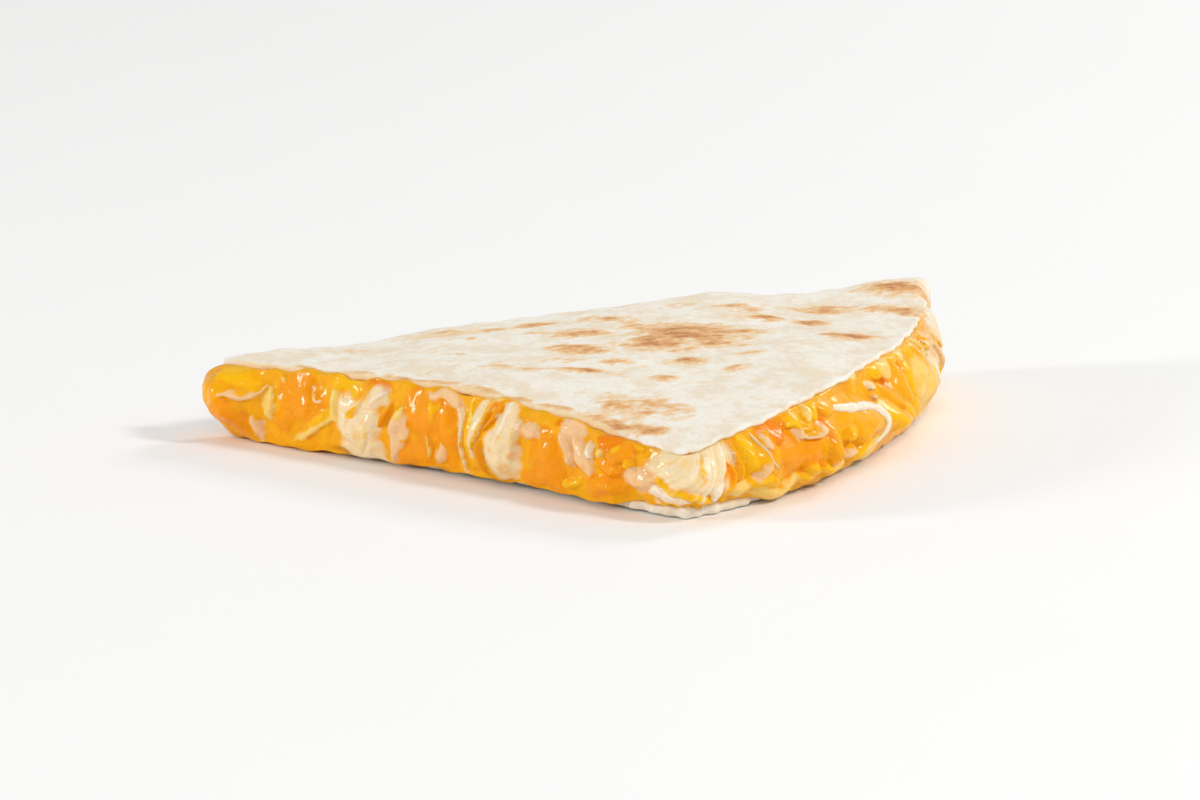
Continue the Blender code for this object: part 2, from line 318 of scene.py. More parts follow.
TOASTED = (
    # x, y, half length, half width, turn in degrees, strength
    (63.0, -20.0, 7.0, 5.0, -30.0, 1.00),
    (57.5, -24.0, 5.5, 4.5, -20.0, 0.78),
    (65.5, -27.0, 5.0, 3.0, -25.0, 0.72),
    (61.0, -16.0, 6.0, 2.2, -25.0, 0.62),
    (72.0, -22.5, 5.0, 1.8, -20.0, 0.66),
    (57.5, -34.5, 2.6, 2.0, 0.0, 0.84),
    (45.5, -23.5, 4.4, 2.4, -35.0, 0.84),
    (48.5, -14.5, 4.6, 2.8, -25.0, 0.66),
    (55.5, -8.5, 4.6, 2.2, -25.0, 0.50),
    (67.5, -4.5, 3.6, 1.6, -20.0, 0.42),
    (75.0, -9.0, 3.2, 2.2, -15.0, 0.66),
    (76.5, -14.5, 3.6, 1.7, -20.0, 0.66),
    (83.0, -18.0, 3.0, 2.0, -10.0, 0.86),
    (88.5, -10.0, 5.2, 3.0, -15.0, 0.60),
    (85.0, -28.5, 3.6, 2.4, -10.0, 0.86),
    (102.5, -4.5, 6.0, 3.2, -20.0, 0.92),
    (98.5, -14.5, 4.6, 2.4, -30.0, 0.78),
    (67.0, -35.5, 2.4, 1.6, 0.0, 0.36),
    (62.5, -41.0, 1.8, 1.3, 0.0, 0.62),
    (51.5, -42.5, 2.0, 1.5, 0.0, 0.66),
    (41.5, -28.5, 3.0, 1.8, -20.0, 0.50),
    (48.0, -32.0, 2.6, 1.4, -20.0, 0.50),
    (31.0, -29.0, 2.4, 1.4, -20.0, 0.52),
    (35.0, -32.0, 2.2, 1.3, -20.0, 0.52),
    (41.5, -35.5, 6.5, 1.3, -33.0, 0.66),
    (45.5, -5.0, 3.2, 1.4, -15.0, 0.52),
    (44.5, -10.5, 3.0, 1.4, -15.0, 0.46),
    (34.0, -3.5, 8.0, 2.0, -12.0, 0.50),
    (33.0, -10.0, 3.6, 1.2, -15.0, 0.30),
    (18.0, -6.0, 5.0, 2.0, -30.0, 0.30),
    (43.0, -54.0, 5.5, 6.0, 20.0, 0.56),
    (46.5, -58.0, 3.6, 4.0, 0.0, 0.44),
    (38.0, -60.0, 1.8, 4.2, 20.0, 0.80),
    (28.0, -18.0, 3.0, 1.6, -20.0, 0.26),
    (22.0, -26.0, 2.0, 1.2, -20.0, 0.30),
)
EDGE_TOASTED = (
    # place along the cut, distance in, half length, half width, strength
    (14.0, 1.2, 4.0, 1.0, 0.36),
    (24.0, 1.0, 3.5, 1.0, 0.50),
    (32.5, 0.8, 4.2, 1.2, 0.95),
    (39.0, 1.4, 3.0, 1.1, 0.60),
    (46.0, 1.2, 3.2, 1.1, 0.74),
    (53.0, 1.4, 3.4, 1.0, 0.56),
    (60.0, 1.4, 3.6, 1.0, 0.62),
    (70.0, 1.8, 5.0, 2.2, 0.86),
    (75.0, 3.2, 3.4, 1.6, 0.70),
)
SPOT_FALL = 0.9
HIDDEN_SEED = 11
HIDDEN_TOASTS = 46
HIDDEN_RANGES = ((5.0, 104.0), (-66.0, 0.0), (1.5, 5.0), (1.2, 4.0), (0.0, 180.0), (0.35, 0.85))
FOLD_TOASTS = 23
FOLD_RANGES = ((4.0, 105.0), (1.0, 13.0), (1.5, 4.5), (1.0, 2.2), (-15.0, 15.0), (0.3, 0.75))


def mix(first, second, share):
    """First where share is 0, second where it is 1, in a straight line between."""
    return first + (second - first) * share


def smooth(value):
    """Smooth step from 0 to 1 as value goes from 0 to 1."""
    t = np.clip(value, 0.0, 1.0)
    return t * t * (3.0 - 2.0 * t)


def hump(share):
    """Parabola that is 0 at both ends and 1 in the middle."""
    t = np.clip(share, 0.0, 1.0)
    return 4.0 * t * (1.0 - t)


def length_along(points, direction):
    """How far points of the plan lie along a unit direction. Both are complex numbers."""
    return (points * np.conj(direction)).real


tip_along = (FOLD_LENGTH**2 + CUT_LENGTH**2 - ARC_CHORD**2) / (2.0 * FOLD_LENGTH)
TIP = tip_along - 1j * math.sqrt(CUT_LENGTH**2 - tip_along**2)
CUT_ALONG = TIP / abs(TIP)
CUT_OUT = -1j * CUT_ALONG
ARC_ALONG = (FOLD_LENGTH - TIP) / abs(FOLD_LENGTH - TIP)
ARC_OUT = -1j * ARC_ALONG
EDGE_LENGTH = CUT_LENGTH + ARC_CHORD


def open_edge(place, tip_round=TIP_ROUND):
    """Open edge by length: the hollow cut, the rounded tip, then the bowed round edge.

    How far a point lies back along the cut, times how far it lies ahead along the round edge, is
    the same everywhere, so the tip is a hyperbola between the two sides. A parabola bends each.
    """
    past = place - CUT_LENGTH
    root = np.hypot(past, tip_round)
    back = 0.5 * (past - root)
    ahead = 0.5 * (past + root)
    return (TIP + CUT_ALONG * back + ARC_ALONG * ahead
            - CUT_OUT * CUT_HOLLOW * hump(-back / CUT_LENGTH)
            + ARC_OUT * ARC_BOW * hump(ahead / ARC_CHORD))


def edge_out(place):
    """Unit direction out of the wedge, square to the open edge."""
    along = open_edge(place + 0.5) - open_edge(place - 0.5)
    return -1j * along / np.abs(along)


def side_distances(plan):
    """How far points of the plan lie inside the cut and inside the round edge, each taken as a
    straight side bent by its parabola."""
    share = length_along(plan, CUT_ALONG) / CUT_LENGTH
    from_cut = -length_along(plan, CUT_OUT) - CUT_HOLLOW * hump(share)
    ahead = length_along(plan - TIP, ARC_ALONG) / ARC_CHORD
    from_arc = ARC_BOW * hump(ahead) - length_along(plan - TIP, ARC_OUT)
    return from_cut, from_arc


def top_height(plan):
    """Upper face: a slope from left to right, bell curves for its swells and its fall to the
    tip, and smooth steps down to the sides. Near the right end the rim is also turned down, by a
    parabola from the rim inwards."""
    height = mix(HEIGHT_LEFT, HEIGHT_RIGHT, plan.real / FOLD_LENGTH)
    for where, rise, reach in SWELLS:
        height = height + rise * np.exp(-((np.abs(plan - where) / reach) ** 2))
    height = height - TIP_FALL * np.exp(-((np.abs(plan - TIP) / TIP_REACH) ** 2))
    from_cut, from_arc = side_distances(plan)
    height = height - CUT_FALL * (1.0 - smooth(from_cut / SIDE_REACH))
    height = height - ARC_FALL * (1.0 - smooth(from_arc / SIDE_REACH))
    along_arc = length_along(plan - TIP, ARC_ALONG) / ARC_CHORD
    at_end = smooth((along_arc - END_FALL_FROM) / (1.0 - END_FALL_FROM))
    at_end = at_end * smooth((END_FALL_START - plan.imag) / END_FALL_LENGTH)
    return height - END_FALL * at_end * np.clip(1.0 - from_arc / END_FALL_REACH, 0.0, 1.0) ** 2


def lower_lift(plan):
    """How far the lower face curls up off the table, only along its open sides: a hump along
    each side, which falls inwards as a parabola."""
    from_cut, from_arc = side_distances(plan)
    along_cut = np.maximum(0.0, length_along(plan, CUT_ALONG) / CUT_LENGTH)
    along_arc = length_along(plan - TIP, ARC_ALONG) / ARC_CHORD
    near_cut = np.clip(1.0 - from_cut / LIFT_REACH, 0.0, 1.0) ** 2
    near_arc = np.clip(1.0 - from_arc / LIFT_REACH, 0.0, 1.0) ** 2
    return CUT_LIFT * hump(along_cut**LIFT_SKEW) * near_cut + ARC_LIFT * hump(along_arc) * near_arc


def place_at(across):
    """Place on the open edge that lies across from a share of the fold."""
    return mix(END_STEP, EDGE_LENGTH - END_STEP, across)


def laps_in(lap):
    """How many laps a lap lies in from the nearer rim, at most 1."""
    return np.clip(np.where(lap <= MIDDLE_LAP, lap, LAST_LAP - lap), 0.0, 1.0)


def fold_depth(across):
    """How far the fold bulges back, less at its two ends by smooth steps."""
    left = mix(LEFT_FOLD_DEPTH, FOLD_DEPTH, smooth(across / END_SHARE))
    right = mix(RIGHT_FOLD_DEPTH, FOLD_DEPTH, smooth((1.0 - across) / END_SHARE))
    return np.minimum(left, right)


def end_shift(across, turn):
    """Sideways shift of the sheet's ends round the fold: a quarter of a sine wave inwards at the
    left, where the lower layer stays set back, and half of one outwards at the right."""
    at_left = 1.0 - smooth(across / END_SHARE)
    at_right = 1.0 - smooth((1.0 - across) / END_SHARE)
    retreat = LEFT_RETREAT * np.sin(0.5 * np.pi * turn) * at_left
    return retreat + RIGHT_BULGE * np.sin(np.pi * turn) * at_right


def ripple(place, lengths, seed):
    """Sum of one sine wave of each length along a place, with drawn phases, about -1 to 1."""
    phases = np.random.default_rng(seed).uniform(0.0, 2.0 * np.pi, len(lengths))
    waves = [np.sin(2.0 * np.pi * place / length + phase)
             for length, phase in zip(lengths, phases)]
    return sum(waves) / len(lengths) ** 0.5


def joined(plan, height):
    """Points in space from places in the plan and heights."""
    return np.stack([plan.real, plan.imag, height + 0.0 * plan.real], axis=-1)


def curl(place, lap):
    """How much the lower layer's rim curls: a bell curve along it, highest just past the tip."""
    return np.exp(-(((place - CURL_AT) / CURL_REACH) ** 2)) * (lap > MIDDLE_LAP)


def sheet(across, lap):
    """Outer face. Lap 0..1 is the upper layer from rim to fold, 1..2 the fold, a half ellipse,
    and 2..3 the lower layer back to its rim.

    A layer runs straight from the fold to its rim, which follows the open edge and wobbles in
    from it. The lower layer has the rounder tip.
    """
    on_fold = FOLD_LENGTH * across + 0j
    turn = np.clip(lap - 1.0, 0.0, 1.0)
    reach = 1.0 - laps_in(lap) ** ROW_CROWDING
    place = place_at(across)
    lower = lap > MIDDLE_LAP
    wobble = ripple(place + LOWER_RIM_OFFSET * lower, RIM_WOBBLE_LENGTHS, RIM_WOBBLE_SEED) - 1.0
    wobble = wobble * (RIM_WOBBLE + CURL_WOBBLE * curl(place, lap))
    tip_round = np.where(lower, LOWER_TIP_ROUND, TIP_ROUND)
    rim = open_edge(place, tip_round) + edge_out(place) * wobble
    plan = mix(on_fold, rim, reach) + end_shift(across, turn)
    angle = np.pi * (0.5 - turn)
    half = 0.5 * top_height(on_fold)
    round_fold = (lap > 1.0) & (lap < 2.0)
    bent = on_fold + end_shift(across, turn) + 1j * fold_depth(across) * np.cos(angle)
    height = np.where(lap <= 1.0, top_height(plan), lower_lift(plan))
    plan = np.where(round_fold, bent, plan)
    return joined(plan, np.where(round_fold, half + half * np.sin(angle), height))


def outward(lap):
    """Unit direction out of the sheet: up on the upper layer, round the fold, then down."""
    angle = np.pi * (0.5 - np.clip(lap - 1.0, 0.0, 1.0))
    return np.stack([0.0 * angle, np.cos(angle), np.sin(angle)], axis=-1)


def rim_wall(place, lap):
    """Thickness at the rim: thin, but full and ragged where the lower layer's curl is."""
    ragged = ripple(place, CURL_RAGGED_LENGTHS, CURL_RAGGED_SEED)
    ragged = CURL_THICKNESS + CURL_RAGGED * ragged
    return mix(RIM_THICKNESS, ragged, curl(place, lap))


def space_waves(points, lengths, number, seed):
    """Sum of plane sine waves in random directions, with lengths in a range and random phases,
    about -1 to 1."""
    rng = np.random.default_rng(seed)
    total = 0.0
    for _ in range(number):
        direction = rng.normal(size=3)
        direction /= np.linalg.norm(direction)
        length = rng.uniform(*lengths)
        phase = rng.uniform(0.0, PHASE_SPAN)
        total = total + np.sin(points @ direction * 2.0 * np.pi / length + phase)
    return total / number**0.5


def toast_spots(plan, spots):
    """Browning of a layer: each spot is a soft ellipse, and the strongest spot counts."""
    total = np.zeros(plan.shape)
    for x, y, half_length, half_width, turn, strength in spots:
        off = (plan - (x + 1j * y)) * np.exp(-1j * math.radians(turn))
        square = (off.real / half_length) ** 2 + (off.imag / half_width) ** 2
        total = np.maximum(total, strength * np.exp(-square * SPOT_FALL))
    return total


def scattered_spots(rng, ranges, number):
    """Spots whose place, size, turn and strength are drawn evenly from their ranges."""
    return [tuple(rng.uniform(*span) for span in ranges) for _ in range(number)]


def wedge_mesh(name, points, faces, marks, finish):
    """Closed smooth mesh from points in plan millimetres, with its marks and finish. No point
    passes the box of the plain solids."""
    mesh = bpy.data.meshes.new(name)
    centred = (points - np.array([PLAN_CENTRE.real, PLAN_CENTRE.imag, 0.0])) * 0.001
    centred = np.clip(centred, np.array(cad_box[0]), np.array(cad_box[1]))
    mesh.from_pydata(centred.tolist(), [], faces)
    for mark, values in marks.items():
        kind = "FLOAT" if values.ndim == 1 else "FLOAT_COLOR"
        layer = mesh.attributes.new(mark, kind, "POINT")
        layer.data.foreach_set("value" if kind == "FLOAT" else "color",
                               np.ascontiguousarray(values, dtype=np.float32).ravel())
    shape = bmesh.new()
    shape.from_mesh(mesh)
    bmesh.ops.recalc_face_normals(shape, faces=shape.faces)
    shape.to_mesh(mesh)
    shape.free()
    mesh.shade_smooth()
    mesh.materials.append(finish.material)
    piece = bpy.data.objects.new(name, mesh)
    bpy.context.scene.collection.objects.link(piece)
    return piece


def grid_faces(index):
    """Four-sided faces between neighbours of a grid of point numbers."""
    corners = (index[:-1, :-1], index[:-1, 1:], index[1:, 1:], index[1:, :-1])
    return np.stack(corners, axis=-1).reshape(-1, 4).tolist()


share = np.linspace(0.0, 1.0, SHEET_COLUMNS)
across = share - COLUMN_CROWDING * np.sin(4.0 * np.pi * share) / (4.0 * np.pi)
upper_laps = np.linspace(0.0, 1.0, UPPER_ROWS, endpoint=False) ** ROW_CLOSENESS
fold_laps = 1.0 + np.arange(FOLD_ROWS) / FOLD_ROWS
lower_laps = LAST_LAP - np.linspace(1.0, 0.0, LOWER_ROWS) ** ROW_CLOSENESS
laps = np.concatenate([upper_laps, fold_laps, lower_laps])
across, laps = np.meshgrid(across, laps)

face = sheet(across, laps)
way_out = outward(laps)
plan = face[..., 0] + 1j * face[..., 1]
place_on_edge = place_at(across)
depth_in = np.abs(open_edge(place_on_edge) - FOLD_LENGTH * across)
from_rim = laps_in(laps) ** ROW_CROWDING * depth_in
from_end = np.minimum(across, 1.0 - across) * FOLD_LENGTH
on_top = smooth((TOP_TO_LAP - laps) / LAP_BLEND)
on_bottom = smooth((laps - BOTTOM_FROM_LAP) / LAP_BLEND)
on_back = np.clip(1.0 - on_top - on_bottom, 0.0, 1.0)

# Toasted spots: those of the upper layer and of its cut rim stand in the lists above, and those
# of the lower layer and of the fold are scattered.
rng = np.random.default_rng(HIDDEN_SEED)
hidden_spots = scattered_spots(rng, HIDDEN_RANGES, HIDDEN_TOASTS)
fold_spots = scattered_spots(rng, FOLD_RANGES, FOLD_TOASTS)
edge_spots = []
for place, inset, half_length, half_width, strength in EDGE_TOASTED:
    spot = open_edge(place) - edge_out(place) * inset
    edge_spots.append((spot.real, spot.imag, half_length, half_width,
                       math.degrees(np.angle(CUT_ALONG)), strength))
toast = toast_spots(plan, (*TOASTED, *edge_spots)) * on_top
toast += toast_spots(plan, hidden_spots) * on_bottom
toast += toast_spots(face[..., 0] + 1j * face[..., 2], fold_spots) * on_back

# Low waves and raised blisters, weaker towards the rims.
waves = space_waves(face, WAVE_LENGTHS, WAVES, WAVE_SEED)
relief = WAVE_RISE * (waves - TOP_WAVE_LEVEL) * on_top
relief += WAVE_RISE * (waves - BACK_WAVE_LEVEL) * on_back
relief += BLISTER_RISE * toast * (laps < TOP_TO_LAP)
relief *= smooth(from_rim / RELIEF_REACH + RELIEF_AT_RIM)
face = face + way_out * relief[..., None]

# Wall: an outer and an inner face on either side of the middle. At the rims and ends both close
# on it in a quarter ellipse, and share their outermost points.
rounding = np.clip(np.minimum(from_rim, from_end) / RIM_ROUND, 0.0, 1.0)
half_wall = 0.5 * mix(rim_wall(place_on_edge, laps), THICKNESS, smooth(from_rim / THINNING_REACH))
middle = face - way_out * half_wall[..., None]
half_wall = half_wall * np.sqrt(1.0 - (1.0 - rounding) ** 2)
outer = middle + way_out * half_wall[..., None]
inner = middle - way_out * half_wall[..., None]

outer_index = np.arange(outer[..., 0].size).reshape(outer.shape[:2])
inner_index = outer_index.copy()
inside = np.zeros(outer_index.shape, dtype=bool)
inside[1:-1, 1:-1] = True
inner_index[inside] = outer_index.size + np.arange(inside.sum())
points = np.concatenate([outer.reshape(-1, 3), inner[inside]])
on_cut = 1.0 - smooth((place_on_edge - SOAK_TO) / SOAK_FADE)
soak = np.exp(-from_rim / SOAK_REACH) * on_cut * on_top
soak_all = np.concatenate([soak.ravel(), np.ones(inside.sum())])
toast_all = np.concatenate([toast.ravel(), np.zeros(inside.sum())])
faces = grid_faces(outer_index) + grid_faces(inner_index[:, ::-1])

FLOUR_PALE = (0.915, 0.87, 0.77)
FLOUR_WARM = (0.85, 0.735, 0.565)
FLOUR_SHADE = (0.78, 0.68, 0.53)
TOAST_TAN = (0.88, 0.64, 0.38)
TOAST_GOLD = (0.80, 0.43, 0.17)
TOAST_BROWN = (0.56, 0.225, 0.06)
SOAKED = (0.90, 0.66, 0.36)

baked = Finish("toasted_flour_tortilla")
clouds = baked.noise(5.0, 4.0)
specks = baked.noise(1.6, 5.0, rough=0.68)
grain = baked.noise(0.6, 4.0, rough=0.6)
wrinkles = baked.noise(2.2, 4.0, (1.7, 0.9, 1.0), 0.6)
toasting = baked.mark("toast")
soaking = baked.mark("soak")

# Flour: pale and warm clouds, with a darker grain.
dough = baked.mix((clouds * 0.5 + specks * 0.5).step(0.42, 0.60), FLOUR_PALE, FLOUR_WARM)
dough = baked.mix(grain.step(0.50, 0.70) * 0.35, dough, FLOUR_SHADE)

# Toast: the marked spots broken up by specks and wrinkles, and faint freckles all over. Its level
# goes from tan through gold to brown, and the grain in it chars first.
browning = toasting * 1.12 + (specks - 0.5) * 1.5 + (wrinkles - 0.5) * 2.3
browning = browning * toasting.step(0.03, 0.26)
faint = (baked.noise(2.3, 5.0, (1.8, 1.0, 1.0), 0.65) - 0.555) * 2.7
level = browning.math("MAXIMUM", faint)
dough = baked.mix(level.step(0.05, 0.42), dough, TOAST_TAN)
dough = baked.mix(level.step(0.36, 0.78), dough, TOAST_GOLD)
dough = baked.mix(level.step(0.74, 1.15), dough, TOAST_BROWN)
charred = level.step(0.5, 0.9) * grain.step(0.52, 0.68)
dough = baked.mix(charred * 0.45, dough, TOAST_BROWN)

# Cheese oil that the rim of the cut has soaked up.
soaked = (soaking + (specks - 0.5) * 0.9) * soaking.step(0.02, 0.3)
dough = baked.mix(soaked.step(0.15, 1.0) * 0.9, dough, SOAKED)
baked.set("Base Color", dough)
baked.set("Roughness", 0.80 - level.step(0.2, 0.9) * 0.18)
baked.bump(clouds * 0.45 + specks * 0.35 + grain * 0.2, 0.6)
baked.set("Subsurface Weight", 0.12)
baked.set("Subsurface Radius", (1.0, 0.6, 0.35))
baked.set("Subsurface Scale", 0.0012)

tortilla = wedge_mesh("folded_tortilla", points, faces,
                      {"toast": toast_all, "soak": soak_all}, baked)
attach(tortilla, "root")
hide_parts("tortilla")


# ---------------------------------------------------------------------------------------------
# Cheese. Orange and white cheeses melted together into one filling, which pushes out past both
# open sides in soft lobes. Each lobe is a dome with a colour of its own, and a crease runs
# between each two of them.

# Wall along the open edge: lips and recesses at its foot and its top, and where each begins.
GAP = 0.15
LIP_HEIGHT = 0.25
LIP_DRIP = 0.16
SMEAR_DROP = 0.12
SMEAR_DRIP = 0.1
DRIP_LENGTHS = (17.0, 9.0, 5.2)
DRIP_SEED = 31
LIP_OUT = 0.55
LIP_WALL = 0.25
STEP_LENGTH = 4.0
SMEARED_FROM = 3.0
SMEARED_TO = 74.0
PATCHY_SHARE = 0.62
PATCHY_CHANGE = 0.55
PATCHY_LENGTHS = (19.0, 11.0, 6.3)
PATCHY_SEED = 33
THIN_SMEAR = 0.5
BARE_FROM = 72.0
BARE_TO = 103.0
CURL_GAP = 0.02
RIM_OVERLAP = 0.1
RIGHT_RISES = 170.0
RIGHT_TUCKS = 176.0
TOP_RECESS = 0.35
BARE_RECESS = 0.9
CUT_SWELL = 0.7
ARC_SWELL = 1.5
SWELL_CHANGE = 14.0
BELLY_POWER = 0.6
RELIEF_POWER = 0.3
SAG = 0.35

# Ends of the wall: the last of it turns into the fold at the right, and a full corner of cheese
# closes round behind the left one.
LAST_MARGIN = 3.0
LAST_TURN = 6.0
LAST_RETREAT = 3.2
CORNER_FROM = -17.0
CORNER_TO = 1.5
CORNER_BASE = 1.5 - 1.6j
CORNER_EASE = 6.0
CORNER_SWELL = 4.6
CORNER_SKEW = 1.5
CORNER_LENGTH = 8.0
CORNER_LIP = 0.1
CORNER_UNDERCUT = 1.0
CORNER_TURN = (209.0, 45.0)
CORNER_CLOSED = 0.34
BEHIND_FROM = -8.5
FULLER_FOOT = 2.3
FULLER_TOP = 1.3

# Inside of the wedge, and the grid of the skin.
TUCK = 0.9
INNER_RECESS = 1.6
SETBACK_SHARE = 0.8
FOOT_RISE = 0.1
HEAD_DROP = 0.05
SMEAR_RISE = 0.25
THROAT = 3.6 - 2.6j
BACK_SPAN = (0.95, 0.12)
BACK_CLEARANCE = 0.2
FILLING_CENTRE = 52.0 - 28.0j
WALL_COLUMNS = 740
BACK_COLUMNS = 26
WALL_ROWS = 58
FLOOR_RINGS = 4

# Wide lumps of the wall.
LUMPS = (
    # place along the edge, height 0..1, half length, half height, swell
    (15.0, 0.45, 6.0, 0.40, 0.7),
    (28.0, 0.35, 4.5, 0.40, 1.0),
    (40.0, 0.70, 6.0, 0.40, 0.6),
    (51.0, 0.45, 4.5, 0.45, 1.2),
    (61.0, 0.55, 4.0, 0.45, 0.7),
    (75.0, 0.78, 4.5, 0.25, 1.5),
    (76.0, 0.20, 5.0, 0.25, 1.0),
    (88.0, 0.50, 5.0, 0.50, 0.9),
    (95.5, 0.80, 2.5, 0.40, -0.8),
    (101.0, 0.50, 4.0, 0.40, 1.7),
    (107.5, 0.65, 2.5, 0.40, -0.7),
    (114.0, 0.50, 6.0, 0.45, 2.6),
    (127.0, 0.90, 6.0, 0.20, -1.4),
    (136.0, 0.36, 10.0, 0.24, 3.0),
    (148.0, 0.85, 7.0, 0.20, 1.0),
    (157.0, 0.45, 8.0, 0.30, 1.6),
    (173.0, 0.60, 6.0, 0.40, 0.8),
)

# Colours, and how lobes join, run together, stand out and are bent by waves.
ORANGE = (0.95, 0.335, 0.003)
DEEP = (0.90, 0.245, 0.002)
AMBER = (0.95, 0.425, 0.006)
GOLD = (0.97, 0.52, 0.03)
BUTTER = (0.94, 0.66, 0.24)
PEACH = (0.90, 0.60, 0.345)
CREAM = (0.91, 0.735, 0.47)
MILK = (0.95, 0.84, 0.67)
# Painted shade: a brown for the pockets along the foot and under the rim.
SHADE_BROWN = (0.62, 0.27, 0.06)
MELTED_HEIGHT = 11.0
CUT_RELIEF = 0.72
DOME_RISE = 0.75
DOME_FALL = 1.6
LOBE_BASE = 0.25
ENDLESS = 1e6
GROUND_LOBE = (0.0, 0.0, ENDLESS, ENDLESS, 0.0, LOBE_BASE, AMBER)
CREASE = 6.0
COLOUR_EDGE = 7.5
COLOUR_BLEED = 5.0
BLEED_SHARE = 0.30
BLEED_CHANGE = 0.26
BLEED_LIMITS = (0.1, 0.85)
BEND_PLACE = 0.95
BEND_HEIGHT = 0.07
FRAY_PLACE = 0.28
FRAY_HEIGHT = 0.025
VEIN_SHARE = 0.30
AMBER_FROM = 0.5
AMBER_RANGE = 1.1
DEEP_FROM = 0.7
DEEP_RANGE = 1.2
FULL_RELIEF_FROM = 66.0
FULL_RELIEF_LENGTH = 22.0
CUT_WAVES_TO = 70.0
CUT_WAVES_LENGTH = 20.0
CUT_WAVE_RISE = 0.13
FINE_RISE = (0.06, 0.08)
MELT_WAVES = {
    # lengths from and to, how many, seed
    "place_bend": ((5.0, 12.0), 8, 21),
    "height_bend": ((4.0, 10.0), 8, 22),
    "place_fray": ((1.3, 3.0), 12, 24),
    "height_fray": ((1.3, 3.0), 12, 25),
    "bleed": ((2.0, 11.0), 12, 26),
    "veins": ((1.8, 6.0), 14, 27),
    "cut": ((3.0, 7.0), 16, 28),
    "fine": ((1.1, 3.2), 24, 23),
}
